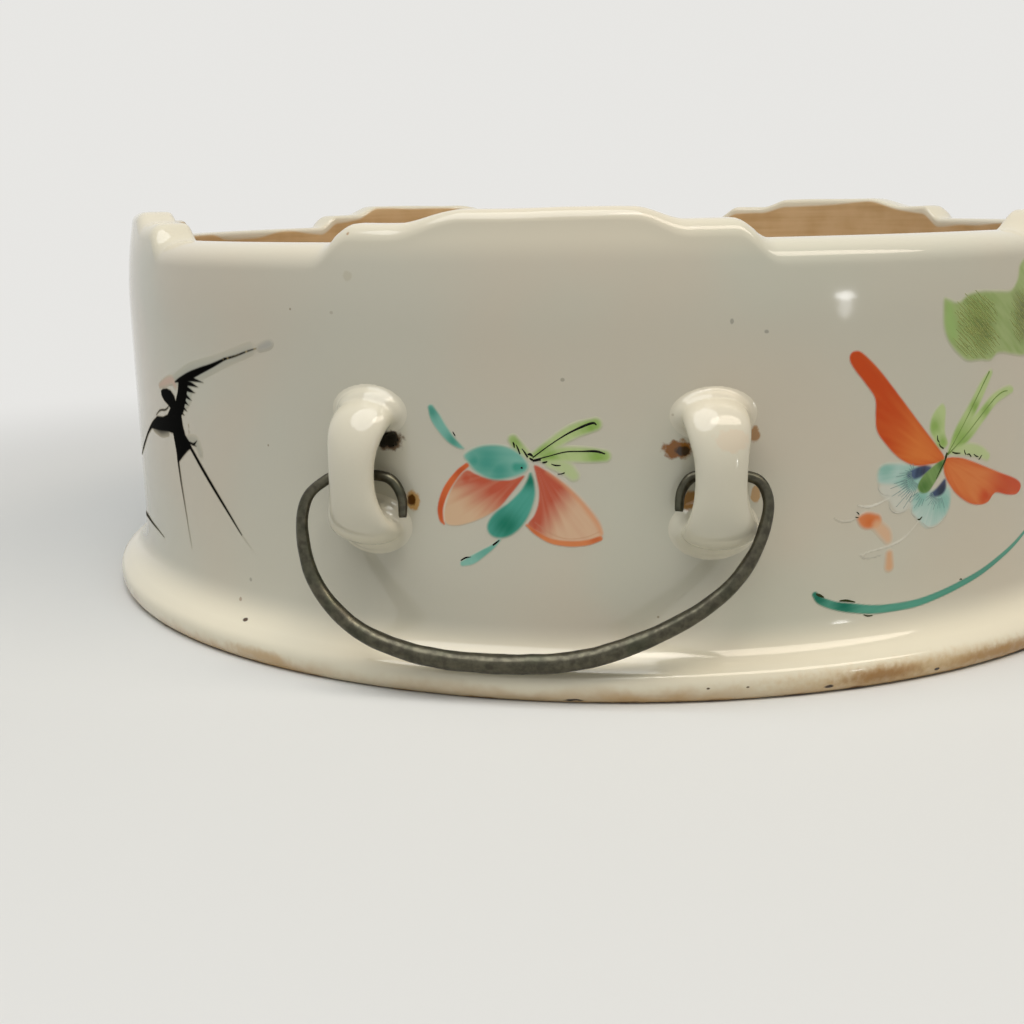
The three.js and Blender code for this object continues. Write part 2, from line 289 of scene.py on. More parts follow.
biscuit = {
    "pale": "#CDB187",  # unglazed fired clay, wiped with a wet brush: matt, warm, streaked round and round
    "deep": "#BA9A6B",
    # burnt bare clay along the foot's bottom edge, darkened also as a painted contact shadow
    "burntAndShade": "#7A5A36",
    "streakHeight": 1.5,  # mm between streaks
    "streakLength": 44,
    "blotchSize": 9,
    "toneFade": (0.68, 1.32),  # of streaks and blotches together, from deep to pale
    "burnAndShadePatches": (15, 3, 0.45, 0.6),
    "bottomBurnAndShadeFade": (1 * mm, 3 * mm, 1, 0),
    "footFade": (-0.15 * mm, 0.35 * mm, 1, 0),  # the foot is bare below
    "roughness": 0.82,
}
enamelPaint = {
    "roughness": 0.135,  # overglaze enamel, brushed on and fired soft: a little duller than the glaze
    "gloss": 0.22,
    "blackRoughness": 0.5,  # iron black fires nearly matt
    "blackGloss": 0.004,
    "lineGloss": 0.08,
    "lineIndex": 1.5,
    "lineDust": "#5A5546",
    "dustPatches": (1.1, 2, 0.35, 0.75, 0, 0.12),
}
wireMetal = {
    "dull": "#434036",  # old brass wire under a black-green patina
    "rubbed": "#5A5749",  # and greyer where hands have rubbed it
    "green": "#343A2C",
    "rubbedPatches": (1.1, 4, 0.3, 0.7),
    "greenPatches": (5, 3, 0.45, 0.7, 0, 0.5),
    "dullRoughness": 0.36,
    "rubbedRoughness": 0.28,
    "metallic": 0.85,
    "dentSize": 0.6,
    "dentDepth": 0.012,
}
# rust and soot where the wire has rubbed; one black core is also painted shade:
# mm round the wall and height, half width and half height, colour, how strong
stains = (
    ((-24.3, 40.4), (2.9, 1.9), "#553208", 0.85),
    # black core at the top of the left ear's eye: soot, and painted shade inside the eye
    ((-24.7, 40.7), (2.6, 1.6), "#0C0804", 1),
    ((-20.3, 30.9), (1.5, 1.9), "#BC8A38", 0.85),
    ((-20.6, 31.0), (0.9, 1.1), "#57340F", 1),
    ((22.4, 39.7), (2.7, 1.7), "#8A5404", 1),
    ((23.1, 39.5), (1.5, 1.0), "#382005", 1),
    ((34.5, 41.8), (0.9, 1.4), "#996510", 0.85),
    ((24.3, 31.5), (1.6, 1.8), "#A8742A", 0.9),
    ((34.9, 32.2), (0.9, 1.6), "#B98B45", 0.8),
    ((29.4, 42.4, 8.1), (3.4, 2.2), "#DDB690", 0.22),  # this one is out on the face of the strap
    ((27.4, 42.6, 8.3), (0.45, 0.4), "#9A744C", 0.7),
)
# pits, ash and kiln grit in the glaze, and then the scorched places along the foot
kilnSpecks = (
    ((-59.1, 8.9), (0.5, 0.45), "#8A6A48", 0.6),
    ((-56.5, 12.9), (0.4, 0.4), "#8E8A7C", 0.6),
    ((-55.4, 6.3), (0.75, 0.35), "#4A3420", 1),
    ((-31.6, 73.3), (0.4, 0.5), "#A87E4C", 0.7),
    ((-31.2, 66.5), (0.9, 0.9), "#B6AE92", 0.4),
    ((-34.4, 60.7), (0.4, 0.3), "#ADA590", 0.6),
    ((26.6, 74.2), (0.5, 0.35), "#5E4228", 1),
    ((30.5, 59.3), (0.35, 0.5), "#99978A", 0.8),
    ((36.0, 57.6), (0.5, 0.4), "#99978A", 0.8),
    ((4.6, 50.8), (0.4, 0.3), "#A09A88", 0.8),
    ((26.4, 2.6), (0.35, 0.2), "#5A4630", 1),
    ((32.4, 2.5), (0.35, 0.2), "#5A4630", 1),
    ((45.5, 1.3), (0.9, 0.35), "#3A2A1C", 1),
    ((65.1, 1.4), (0.6, 0.3), "#3A2A1C", 1),
    ((6.5, 0.6), (1.8, 0.4), "#2A2018", 1),
)
footScorches = (
    ((62, 2.4), (28, 1.7), "#CBA86C", 0.65),
    ((54.5, 2.2), (8, 1.3), "#96651C", 0.8),
    ((80, 2.0), (14, 1.2), "#A3742C", 0.75),
    ((-49.5, 2.2), (8, 1.0), "#C2A06E", 0.6),
)
marks = {
    "raggedness": 1.2,  # mm between the nicks in a mark's edge
    "edge": 1.35,  # distance from a mark's middle plus noise at which its edge lies
    "stainSoftness": 0.36,  # as a share of its size
    "scorchSoftness": 1.3,
    "speckSoftness": 0.5,
}
smooth = {"interpolation_type": "SMOOTHSTEP"}


def fade(low, high, start=0, end=1):
    # a map range's sockets: it goes from start, up to low, to end, from high on
    return {1: low, 2: high, 3: start, 4: end}


def newMaterial(name):
    material = bpy.data.materials.new(name)
    material.use_nodes = True
    tree = material.node_tree
    tree.nodes.clear()
    return material, tree, addNode(tree, "TexCoord", output="Object")


def patches(tree, place, size, detail, *ends):
    # soft patches that are about size millimetres across
    lumps = addNode(tree, "TexNoise", {"Vector": place, "Scale": 1 / (size * mm), "Detail": detail})
    return addNode(tree, "MapRange", {0: lumps, **fade(*ends)}, **smooth)


def layered(tree, colour, *layers):
    # lays colours over each other, each as far as its own cover says; a colour is a hex code or a socket
    for cover, over in layers:
        over = linearColour(over) if isinstance(over, str) else over
        colour = addNode(tree, "Mix", {0: cover, 6: colour, 7: over}, 2, data_type="RGBA")
    return colour


def glazeColour(tree, place):
    g = glaze
    cells = addNode(tree, "TexVoronoi", {"Vector": place, "Scale": 1 / (g["speckSpacing"] * mm)}, "Distance")
    dots = addNode(tree, "MapRange", {0: cells, **fade(*g["speckFade"])}, **smooth)
    rare = patches(tree, place, *g["speckPatches"])
    specks = addNode(tree, "Math", {0: dots, 1: rare}, operation="MULTIPLY")
    return layered(tree, linearColour(g["pale"]), (patches(tree, place, *g["warmPatches"]), g["warm"]),
                   (patches(tree, place, *g["coolPatches"]), g["cool"]), (specks, g["speck"]))


def markedColour(tree, place, colour, spots, soft, turns=(0,)):
    # small ragged marks at given places on the wall, their edges soft over this share of their size
    nicks = {"Vector": place, "Scale": 1 / (marks["raggedness"] * mm), "Detail": 3}
    ragged = addNode(tree, "TexNoise", nicks)
    inner, outer = marks["edge"] - soft / 2, marks["edge"] + soft / 2
    for turn in turns:
        for (along, height, *proud), (width, tall), code, strength in spots:
            x, y, z = wallPoint(along + math.radians(turn) * wall, height, sum(proud))
            apart = addNode(tree, "VectorMath", {0: place, 1: (x * mm, y * mm, z * mm)}, operation="SUBTRACT")
            spread = (1 / (width * mm), 1 / (width * mm), 1 / (tall * mm))
            scaled = addNode(tree, "VectorMath", {0: apart, 1: spread}, operation="MULTIPLY")
            reach = addNode(tree, "VectorMath", {0: scaled}, "Value", operation="LENGTH")
            frayed = addNode(tree, "Math", {0: reach, 1: ragged}, operation="ADD")
            cover = addNode(tree, "MapRange", {0: frayed, **fade(inner, outer, strength, 0)}, **smooth)
            colour = layered(tree, colour, (cover, code))
    return colour


def glazeRipple(tree, place):
    waves = addNode(tree, "TexNoise", {"Vector": place, "Scale": 1 / (glaze["rippleSize"] * mm), "Detail": 1})
    return addNode(tree, "Bump", {"Height": waves, "Strength": 1, "Distance": glaze["ripple"] * mm})


def finish(tree, colour, roughness, normal=None, **sockets):
    inputs = {"Base Color": colour, "Roughness": roughness}
    inputs.update({socket.replace("_", " "): value for socket, value in sockets.items()})
    if normal is not None:
        inputs["Normal"] = normal
    addNode(tree, "OutputMaterial", {0: addNode(tree, "BsdfPrincipled", inputs)})


def biscuitColour(tree, place, height):
    # the streaks run round the wall, and in rings on the floor
    b = biscuit
    flat = addNode(tree, "VectorMath", {0: place, 1: (1, 1, 0)}, operation="MULTIPLY")
    outward = addNode(tree, "VectorMath", {0: flat}, "Value", operation="LENGTH")
    climb = addNode(tree, "Math", {0: height, 1: outward}, operation="SUBTRACT")
    upward = addNode(tree, "Math", {0: climb, 1: 1 / (b["streakHeight"] * mm)}, operation="MULTIPLY")
    around = addNode(tree, "VectorMath", {0: flat, "Scale": 1 / (b["streakLength"] * mm)}, operation="SCALE")
    lifted = addNode(tree, "CombineXYZ", {2: upward})
    brushed = addNode(tree, "VectorMath", {0: around, 1: lifted}, operation="ADD")
    streaks = addNode(tree, "TexNoise", {"Vector": brushed, "Scale": 1, "Detail": 3})
    blotches = addNode(tree, "TexNoise", {"Vector": place, "Scale": 1 / (b["blotchSize"] * mm), "Detail": 3})
    both = addNode(tree, "Math", {0: streaks, 1: blotches}, operation="ADD")
    tone = addNode(tree, "MapRange", {0: both, **fade(*b["toneFade"])}, **smooth)
    # the bottom few millimetres of bare foot turn dark brown: burnt clay, and a painted contact shadow where
    # the bowl meets the table
    onFoot = addNode(tree, "MapRange", {0: height, **fade(*b["bottomBurnAndShadeFade"])}, **smooth)
    patchy = patches(tree, place, *b["burnAndShadePatches"])
    burntAndShade = addNode(tree, "Math", {0: patchy, 1: onFoot}, operation="MULTIPLY")
    return layered(tree, linearColour(b["deep"]), (tone, b["pale"]), (burntAndShade, b["burntAndShade"]))


def dippedPorcelain():
    # dipped porcelain: glossy outside, bare and streaked inside, tan and scorched along the foot's edge, with
    # painted light on the foot and rim and a painted contact shadow along the foot's bottom
    material, tree, place = newMaterial("dipped_porcelain")
    g = glaze
    height = addNode(tree, "SeparateXYZ", {0: place}, 2)
    frayed = addNode(tree, "Math", {0: height, 1: patches(tree, place, *g["fraying"])}, operation="ADD")

    # the foot and the rim turn lighter and creamier: partly pooled glaze, partly painted light on the upward
    # faces
    onFoot = addNode(tree, "MapRange", {0: height, **fade(*g["footFade"])}, **smooth)
    onRim = addNode(tree, "MapRange", {0: height, **fade(*g["rimFade"])}, **smooth)
    creamAndLight = addNode(tree, "Math", {0: onFoot, 1: onRim}, operation="MAXIMUM")
    atEdge = addNode(tree, "MapRange", {0: frayed, **fade(*g["thinFade"])}, **smooth)
    patchy = patches(tree, place, *g["thinPatches"])
    ranThin = addNode(tree, "Math", {0: atEdge, 1: patchy}, operation="MULTIPLY")
    colour = layered(tree, glazeColour(tree, place), (creamAndLight, g["foot"]), (ranThin, g["thin"]))
    colour = markedColour(tree, place, colour, stains, marks["stainSoftness"], (0, 180))
    colour = markedColour(tree, place, colour, footScorches, marks["scorchSoftness"])
    colour = markedColour(tree, place, colour, kilnSpecks, marks["speckSoftness"])

    below = addNode(tree, "Attribute", output="Fac", attribute_name="belowGlaze")
    past = addNode(tree, "Math", {0: below, 1: patches(tree, place, *g["lapRuns"])}, operation="ADD")
    bareInside = addNode(tree, "MapRange", {0: past, **fade(*g["lapFade"])}, **smooth)
    bareFoot = addNode(tree, "MapRange", {0: frayed, **fade(*biscuit["footFade"])}, **smooth)
    bare = addNode(tree, "Math", {0: bareInside, 1: bareFoot}, operation="MAXIMUM")
    colour = layered(tree, colour, (bare, biscuitColour(tree, place, height)))
    ends = fade(0, 1, g["roughness"], biscuit["roughness"])
    roughness = addNode(tree, "MapRange", {0: bare, **ends}, **smooth)
    finish(tree, colour, roughness, glazeRipple(tree, place), IOR=g["index"])
    return material


def earPorcelain():
    # the same dipped glaze on the ears, where it lies creamier
    material, tree, place = newMaterial("dipped_porcelain_ears")
    colour = layered(tree, glazeColour(tree, place), (glaze["earCream"], glaze["foot"]))
    colour = markedColour(tree, place, colour, stains, marks["stainSoftness"], (0, 180))
    finish(tree, colour, glaze["roughness"], glazeRipple(tree, place), IOR=glaze["index"])
    return material


def brushedEnamel(name, roughness, gloss):
    # overglaze enamel, brushed on and fired soft: glassy washes that let the glaze through
    material, tree, place = newMaterial(name)
    paint = addNode(tree, "VertexColor", layer_name="enamel")
    colour = layered(tree, glazeColour(tree, place), (paint.node.outputs["Alpha"], paint))
    finish(tree, colour, roughness, glazeRipple(tree, place), IOR=glaze["index"], Specular_IOR_Level=gloss)
    return material


def lineEnamel(name, code, roughness):
    # enamel drawn in fine raised lines with a pointed brush, fired nearly matt
    material, tree, place = newMaterial(name)
    e = enamelPaint
    colour = layered(tree, linearColour(code), (patches(tree, place, *e["dustPatches"]), e["lineDust"]))
    finish(tree, colour, roughness, IOR=e["lineIndex"], Specular_IOR_Level=e["lineGloss"])
    return material


def patinatedBrassWire():
    # hand-forged brass wire with an old black-green patina: dull, and greyer where hands have rubbed it
    material, tree, place = newMaterial("patinated_brass_wire")
    w = wireMetal
    rubbed = patches(tree, place, *w["rubbedPatches"])
    colour = layered(tree, linearColour(w["dull"]), (rubbed, w["rubbed"]),
                     (patches(tree, place, *w["greenPatches"]), w["green"]))
    ends = fade(0, 1, w["dullRoughness"], w["rubbedRoughness"])
    roughness = addNode(tree, "MapRange", {0: rubbed, **ends}, **smooth)
    hammered = addNode(tree, "TexNoise", {"Vector": place, "Scale": 1 / (w["dentSize"] * mm), "Detail": 3})
    dents = addNode(tree, "Bump", {"Height": hammered, "Strength": 1, "Distance": w["dentDepth"] * mm})
    finish(tree, colour, roughness, dents, Metallic=w["metallic"])
    return material


porcelain = dippedPorcelain()
earGlaze = earPorcelain()
enamel = brushedEnamel("overglaze_enamel", enamelPaint["roughness"], enamelPaint["gloss"])
blackEnamel = brushedEnamel("iron_black_enamel", enamelPaint["blackRoughness"], enamelPaint["blackGloss"])
blackLine = lineEnamel("iron_black_line", "#0B0B09", 0.4)
brassWire = patinatedBrassWire()
print("materials made")

glazedBowl = makeBowl(porcelain)
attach(glazedBowl, "vessel")
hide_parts("wall", "base_slab")
print("bowl made:", len(glazedBowl.data.vertices), "points")


# ears

ear = {
    "angle": 15.3,  # degrees to either side of a bail's middle
    "rightRise": 0.6,
    "eyeBottom": 29.2,
    "eyeHeight": 12.4,
    "reach": 6.2,  # from the wall to the middle of the strap
    "upperBend": 1,  # below 1 the strap turns more squarely
    "lowerBend": 0.6,
    "squareness": 0.85,
    "halfWidth": 4.05,  # at the waist
    "halfThickness": 2.1,
    "upperHalfWidth": 5.2,
    "lowerHalfWidth": 6.0,
    "endHalfThickness": 3.0,
    "upperFlare": 4.4,
    "lowerFlare": 3.2,
    "rightSwing": 0.9,  # the right ears' lower ends stand this much further right
    "upperPad": (6.0, 3.8, 44.5),  # half width, half height and height of its middle
    "leftPadRise": 0.5,  # the left ears' upper pads sit this much higher
    "lowerPad": (6.5, 4.6, 26.5),
    "padRise": 2.3,
    "padSquareness": 2.4,
    "padSunk": 0.06,
    "padBack": 1.4,  # how far inside the wall a pad is closed
    "rootReach": 1.0,  # glaze pooled round the root of a pad
    "rootRise": 0.5,
    "rootStart": 0.9,
    "softness": 3,  # rounds of smoothing, as the glaze softens every crease
    "fineness": 0.34,
}


def strapTube(swing):
    e = ear
    middle = e["eyeBottom"] + e["eyeHeight"] / 2
    halfHeight = e["eyeHeight"] / 2 + e["endHalfThickness"]

    def centre(turn):
        bend = e["upperBend"] if math.cos(turn) > 0 else e["lowerBend"]
        cosine = math.cos(turn)
        rise = halfHeight * math.copysign(abs(cosine) ** e["squareness"], cosine)
        out = e["reach"] * max(math.sin(turn), 0) ** bend
        return np.array((swing * max(0, -cosine) ** 2, -wall - out, middle + rise))

    vertices = []
    sides, rings, smallTurn = 48, 60, 0.01
    for turn in np.linspace(2 * smallTurn, math.pi - 2 * smallTurn, rings):
        tangent = centre(turn + smallTurn) - centre(turn - smallTurn)
        tangent /= np.linalg.norm(tangent)
        across = np.array((1, 0, 0))
        through = np.cross(tangent, across)
        end = "upper" if math.cos(turn) > 0 else "lower"
        waist = math.sin(turn) ** e[end + "Flare"]
        width = e[end + "HalfWidth"] + (e["halfWidth"] - e[end + "HalfWidth"]) * waist
        thickness = e["endHalfThickness"] + (e["halfThickness"] - e["endHalfThickness"]) * math.sin(turn)
        for side in np.linspace(0, 2 * math.pi, sides, endpoint=False):
            vertices.append(centre(turn) + across * width * math.cos(side)
                            + through * thickness * math.sin(side))
    return vertices, tubeFaces(rings, sides)


def padDome(halfWidth, halfHeight, height, shift):
    # a round cap with its glaze root, on the wall's own curve and closed just inside the wall
    e = ear
    vertices = []
    sides, rings = 56, 16
    edge = 1 + e["rootReach"] / halfHeight
    for depth in (0, 1):
        for ring in range(rings):
            share = edge * ring / (rings - 1)
            for side in np.linspace(0, 2 * math.pi, sides, endpoint=False):
                x = shift + share * halfWidth * math.cos(side)
                z = share * halfHeight * math.sin(side)
                cap = e["padRise"] * math.sqrt(max(0, 1 - share ** e["padSquareness"]))
                ebb = max(0, share - e["rootStart"]) / (edge - e["rootStart"])
                root = e["rootRise"] * max(0, 1 - ebb) ** 2
                out = max(cap, root) - e["padSunk"] if depth == 0 else -e["padBack"]
                vertices.append((x, -math.sqrt(wall ** 2 - x * x) - out, height + z))
    faces = gridFaces(rings, sides, closedColumns=True)
    start = rings * sides
    faces += [tuple(start + v for v in face[::-1]) for face in gridFaces(rings, sides, closedColumns=True)]
    last, lastBack = (rings - 1) * sides, start + (rings - 1) * sides
    for side in range(sides):
        beside = (side + 1) % sides
        faces.append((last + side, last + beside, lastBack + beside, lastBack + side))
    return vertices, faces


def makeEar(name, angle, rise, swing, padRise, nodes):
    e = ear
    vertices, faces = strapTube(swing)
    halfWidth, halfHeight, height = e["upperPad"]
    for pad in ((*e["lowerPad"], swing / 2), (halfWidth, halfHeight, height + padRise, 0)):
        padVertices, padFaces = padDome(*pad)
        faces += [tuple(len(vertices) + v for v in face) for face in padFaces]
        vertices += padVertices
    turn = math.radians(angle)
    placed = [(x * math.cos(turn) - y * math.sin(turn), x * math.sin(turn) + y * math.cos(turn), z + rise)
              for x, y, z in vertices]
    rough = makePiece(name + "_rough", placed, faces, earGlaze)
    remesh = rough.modifiers.new("join", "REMESH")
    remesh.mode = "VOXEL"
    remesh.voxel_size = e["fineness"] * mm
    soften = rough.modifiers.new("soften", "SMOOTH")
    soften.iterations = e["softness"]
    mesh = bpy.data.meshes.new_from_object(rough.evaluated_get(bpy.context.evaluated_depsgraph_get()))
    bpy.data.objects.remove(rough)
    mesh.polygons.foreach_set("use_smooth", [True] * len(mesh.polygons))
    mesh.materials.clear()
    mesh.materials.append(earGlaze)
    piece = bpy.data.objects.new(name, mesh)
    bpy.context.scene.collection.objects.link(piece)
    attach(piece, "vessel")
    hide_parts(*nodes)
    return piece


for side, facing in (("front", 0), ("back", 180)):
    for hand, angle, rise, swing, padRise in (
            ("left", -ear["angle"], 0, 0, ear["leftPadRise"]),
            ("right", ear["angle"], ear["rightRise"], ear["rightSwing"], 0)):
        start = side + "_" + hand + "_ear"
        nodes = (start + "_strap", start + "_upper_pad", start + "_lower_pad")
        made = makeEar(start, facing + angle, rise, swing, padRise, nodes)
print("ears made:", len(made.data.vertices), "points each")


# bails

bail = {
    "hookBulge": 0.25,
    "leftHook": (21.505, 6.6),  # the tip's distance from the bail's middle, and the hook's length
    "rightHook": (22.505, 5.4),
    "bendRun": 1.8,
    "bendDrop": 0.9,
    "halfWidth": 38.405,
    "bow": ((-0.975, 0.11), (-1, 0.27), (-0.945, 0.56), (-0.775, 0.81), (-0.52, 0.95), (-0.18, 1),
            (0.19, 0.97), (0.53, 0.81), (0.78, 0.59), (0.9, 0.36), (0.94, 0.13)),
    "pivotOut": 102.8045,
    "pivotHeight": 35.3,
    "pivotRise": 1,  # from the left eye to the right one
    "low": (110.2, 6.65),  # distance out and height of the bow's lowest point
    "tipRadius": 0.7,
    "eyeRadius": 0.9,
    "bowRadius": 1.7,
    "thinRun": 20,
    "cutEnd": 0.86,  # the cut ends are slightly broken at the edge
    "flatness": 0.07,  # hammering left the wire a little off round
    "flatPitch": 3.4,
    "rings": 420,
    "sides": 28,
}


def evenPath(points, count):
    # centripetal Catmull-Rom, then points at equal steps along it
    points = np.array(points, float)
    padded = np.vstack([2 * points[:1] - points[1:2], points, 2 * points[-1:] - points[-2:-1]])
    fine = []
    for a, b, c, d in zip(padded, padded[1:], padded[2:], padded[3:]):
        k1 = np.linalg.norm(b - a) ** 0.5
        k2 = k1 + np.linalg.norm(c - b) ** 0.5
        k3 = k2 + np.linalg.norm(d - c) ** 0.5
        for t in np.linspace(k1, k2, 24, endpoint=False):
            ab = a * (k1 - t) / k1 + b * t / k1
            bc = b * (k2 - t) / (k2 - k1) + c * (t - k1) / (k2 - k1)
            cd = c * (k3 - t) / (k3 - k2) + d * (t - k2) / (k3 - k2)
            abc = ab * (k2 - t) / k2 + bc * t / k2
            bcd = bc * (k3 - t) / (k3 - k1) + cd * (t - k1) / (k3 - k1)
            fine.append(abc * (k2 - t) / (k2 - k1) + bcd * (t - k1) / (k2 - k1))
    fine = np.vstack(fine + [points[-1]])
    run = np.concatenate([[0], np.cumsum(np.linalg.norm(np.diff(fine, axis=0), axis=1))])
    even = np.linspace(0, run[-1], count)
    return np.stack([np.interp(even, run, fine[:, axis]) for axis in range(fine.shape[1])], axis=1), run[-1]


def wireEnd(side, tip, length):
    b = bail
    earPlace = (wall + ear["reach"]) * math.sin(math.radians(ear["angle"]))
    innerBend = earPlace - ear["halfWidth"] - 0.3
    outerBend = earPlace + ear["halfWidth"]
    points = ((tip, -length), (tip + b["hookBulge"], -length / 2), ((tip + innerBend) / 2, -b["eyeRadius"]),
              (innerBend, 0), (outerBend, 0), (outerBend + b["bendRun"], -b["bendDrop"]))
    return [(side * x, 0, z) for x, z in points]


def makeBail(name, facing):
    b = bail
    hang = Vector((b["low"][0] - b["pivotOut"], b["pivotHeight"] - b["low"][1]))
    points = wireEnd(-1, *b["leftHook"])
    points += [(x * b["halfWidth"], 0, -down * hang.length) for x, down in b["bow"]]
    points += wireEnd(1, *b["rightHook"])[::-1]
    line, length = evenPath(points, b["rings"])
    earSpan = 2 * wall * math.sin(math.radians(ear["angle"]))
    place = (Matrix.Rotation(math.radians(facing), 4, "Z")
             @ Matrix.Translation((0, -b["pivotOut"], b["pivotHeight"]))
             @ Matrix.Rotation(-math.asin(b["pivotRise"] / earSpan), 4, "Y")
             @ Matrix.Rotation(-math.atan2(hang.x, hang.y), 4, "X"))
    vertices = []
    for ring, centre in enumerate(line):
        share = ring / (b["rings"] - 1)
        fromEnd = min(share, 1 - share) * length
        thin = b["tipRadius"] + (b["eyeRadius"] - b["tipRadius"]) * min(1, fromEnd / b["rightHook"][1])
        swell = min(1, max(0, (fromEnd - b["thinRun"]) / (length / 2 - b["thinRun"])))
        radius = thin + (b["bowRadius"] - thin) * math.sin(swell * math.pi / 2)
        tangent = line[min(ring + 1, b["rings"] - 1)] - line[max(ring - 1, 0)]
        tangent /= np.linalg.norm(tangent)
        across = np.array((0, 1, 0))
        outward = np.cross(across, tangent)
        if ring in (0, b["rings"] - 1):
            radius *= b["cutEnd"]
        for side in np.linspace(0, 2 * math.pi, b["sides"], endpoint=False):
            flats = softNoise(share * length, 3 * math.cos(side), 3 * math.sin(side), b["flatPitch"]) - 0.6
            spot = centre + radius * (1 + b["flatness"] * flats) * (outward * math.cos(side)
                                                                    + across * math.sin(side))
            vertices.append(tuple(place @ Vector(spot)))
    piece = makePiece(name + "_wire", vertices, tubeFaces(b["rings"], b["sides"]), brassWire)
    for end in (-1, -2):
        piece.data.polygons[end].use_smooth = False
    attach(piece, name)
    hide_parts(name)


for name, facing in (("front_bail", 0), ("back_bail", 180)):
    makeBail(name, facing)
print("bails made")


# painting
# Washes and strokes are placed in millimetres round the wall from the middle of the front, and in height.

brush = {
    "hairWidth": 0.5,  # mm between the hairs' marks in a wash
    "hairLength": 6,
    "hairDepth": 0.16,
    "hairTurn": -60,  # degrees from level
    "fanRadius": 9,  # mm from a fan's middle at which its hairs are as wide as others
    "enamelHeight": 0.055,  # how proud a full wash stands
    "fullCover": 0.35,  # and the cover from which it does
    "faintest": 0.015,  # the least cover that gets a skin of enamel
    "edgeDip": 0.01,
    "lineHeight": 0.1,
    "thinnestLine": 0.03,
    "ridge": ((-1, -0.1), (-0.8, 0.75), (0, 1), (0.8, 0.75), (1, -0.1)),  # a line's section, as shares
}


def stroke(pale, soft, *points, **more):
    # one pull of the brush: colour, softness of its edge in mm, then (along, height, half width) all along it
    return {"pale": pale, "soft": soft, "points": points, **more}


def wash(pale, soft, *outline, **more):
    # a filled shape with a drawn outline of (along, height)
    return {"pale": pale, "soft": soft, "outline": outline, **more}


def segmentGap(canvas, a, b):
    # how far the canvas lies from the straight line between two points, and how far along it is nearest
    across, up = canvas["along"] - a[0], canvas["height"] - a[1]
    step = b[:2] - a[:2]
    t = np.clip((across * step[0] + up * step[1]) / max(step @ step, 1e-9), 0, 1)
    return np.hypot(across - t * step[0], up - t * step[1]), t


def strokeGap(canvas, mark):
    # distance from the edge of a stroke, below 0 inside, and the share of its length
    line = smoothLine(mark["points"], 10)
    best = np.full(canvas["along"].shape, 1e9)
    share = np.zeros_like(best)
    for number, (a, b) in enumerate(zip(line, line[1:])):
        gap, t = segmentGap(canvas, a, b)
        gap -= a[2] + t * (b[2] - a[2])
        nearer = gap < best
        share = np.where(nearer, (number + t) / (len(line) - 1), share)
        best = np.where(nearer, gap, best)
    return best, share


def washGap(canvas, mark):
    # the same for a filled shape
    loop = np.array(mark["outline"], float)
    if not mark.get("crisp"):
        loop = smoothLine(loop, 6, closed=True)
    best = np.full(canvas["along"].shape, 1e9)
    inside = np.zeros(best.shape, bool)
    for a, b in zip(loop, np.roll(loop, -1, axis=0)):
        best = np.minimum(best, segmentGap(canvas, a, b)[0])
        step = b - a
        crosses = (a[1] > canvas["height"]) != (b[1] > canvas["height"])
        slope = step[0] / (step[1] if abs(step[1]) > 1e-9 else 1e-9)
        inside ^= crosses & (canvas["along"] < a[0] + (canvas["height"] - a[1]) * slope)
    return np.where(inside, -best, best), np.zeros(best.shape)


def hairMarks(canvas, mark, painted):
    # streaks left by the brush, along one direction or fanning out from a point
    along, height = canvas["along"][painted], canvas["height"][painted]
    if "fan" in mark:
        centre = mark["fan"]
        across = brush["fanRadius"] * np.arctan2(height - centre[1], along - centre[0])
        run = np.hypot(height - centre[1], along - centre[0])
    else:
        turn = math.radians(mark.get("hairTurn", brush["hairTurn"]))
        across = -math.sin(turn) * along + math.cos(turn) * height
        run = math.cos(turn) * along + math.sin(turn) * height
    streaks = np.zeros(painted.shape)
    length = mark.get("hairLength", brush["hairLength"])
    streaks[painted] = [noise.noise((a / brush["hairWidth"], r / length, 0.5)) for a, r in zip(across, run)]
    return mark.get("hairs", brush["hairDepth"]) * streaks


def paintCanvas(area, strokes):
    # lays the strokes over each other in order, as colour and cover on a fine grid
    (left, right), (low, high), fineness = area["along"], area["height"], area["fineness"]
    columns, rows = int((right - left) / fineness) + 1, int((high - low) / fineness) + 1
    along, height = np.meshgrid(np.linspace(left, right, columns), np.linspace(low, high, rows))
    canvas = {"along": along, "height": height}
    colour = np.zeros(along.shape + (3,))
    cover = np.zeros(along.shape)
    for mark in strokes:
        edge, share = (washGap if "outline" in mark else strokeGap)(canvas, mark)
        strength = mark.get("strength", 1) * smoothstep(mark["soft"] / 2, -mark["soft"] / 2, edge)
        strength *= 1 - mark.get("fade", 0) * share
        tone = np.zeros(along.shape)
        for spotAlong, spotHeight, reach in mark.get("deepAt", ()):
            apart = np.hypot(along - spotAlong, height - spotHeight)
            tone = np.maximum(tone, np.exp(-(apart / reach) ** 2))
        if "grade" in mark:
            (fromAlong, fromHeight), (toAlong, toHeight) = mark["grade"]
            way = np.array((toAlong - fromAlong, toHeight - fromHeight))
            part = ((along - fromAlong) * way[0] + (height - fromHeight) * way[1]) / (way @ way)
            tone = np.maximum(tone, smoothstep(1, 0, part))
        if "deepEdge" in mark:
            tone = np.maximum(tone, mark["edgeTone"] * np.exp(np.minimum(edge, 0) / mark["deepEdge"]))
        tone = np.clip(tone + hairMarks(canvas, mark, strength > 0.02), 0, 1)
        pale = np.array(linearColour(mark["pale"])[:3])
        deep = np.array(linearColour(mark.get("deep", mark["pale"]))[:3])
        shade = pale + (deep - pale) * tone[..., None]
        total = strength + cover * (1 - strength)
        under = colour * (cover * (1 - strength))[..., None]
        colour = (shade * strength[..., None] + under) / np.maximum(total, 1e-6)[..., None]
        cover = total
    return along, height, colour, cover


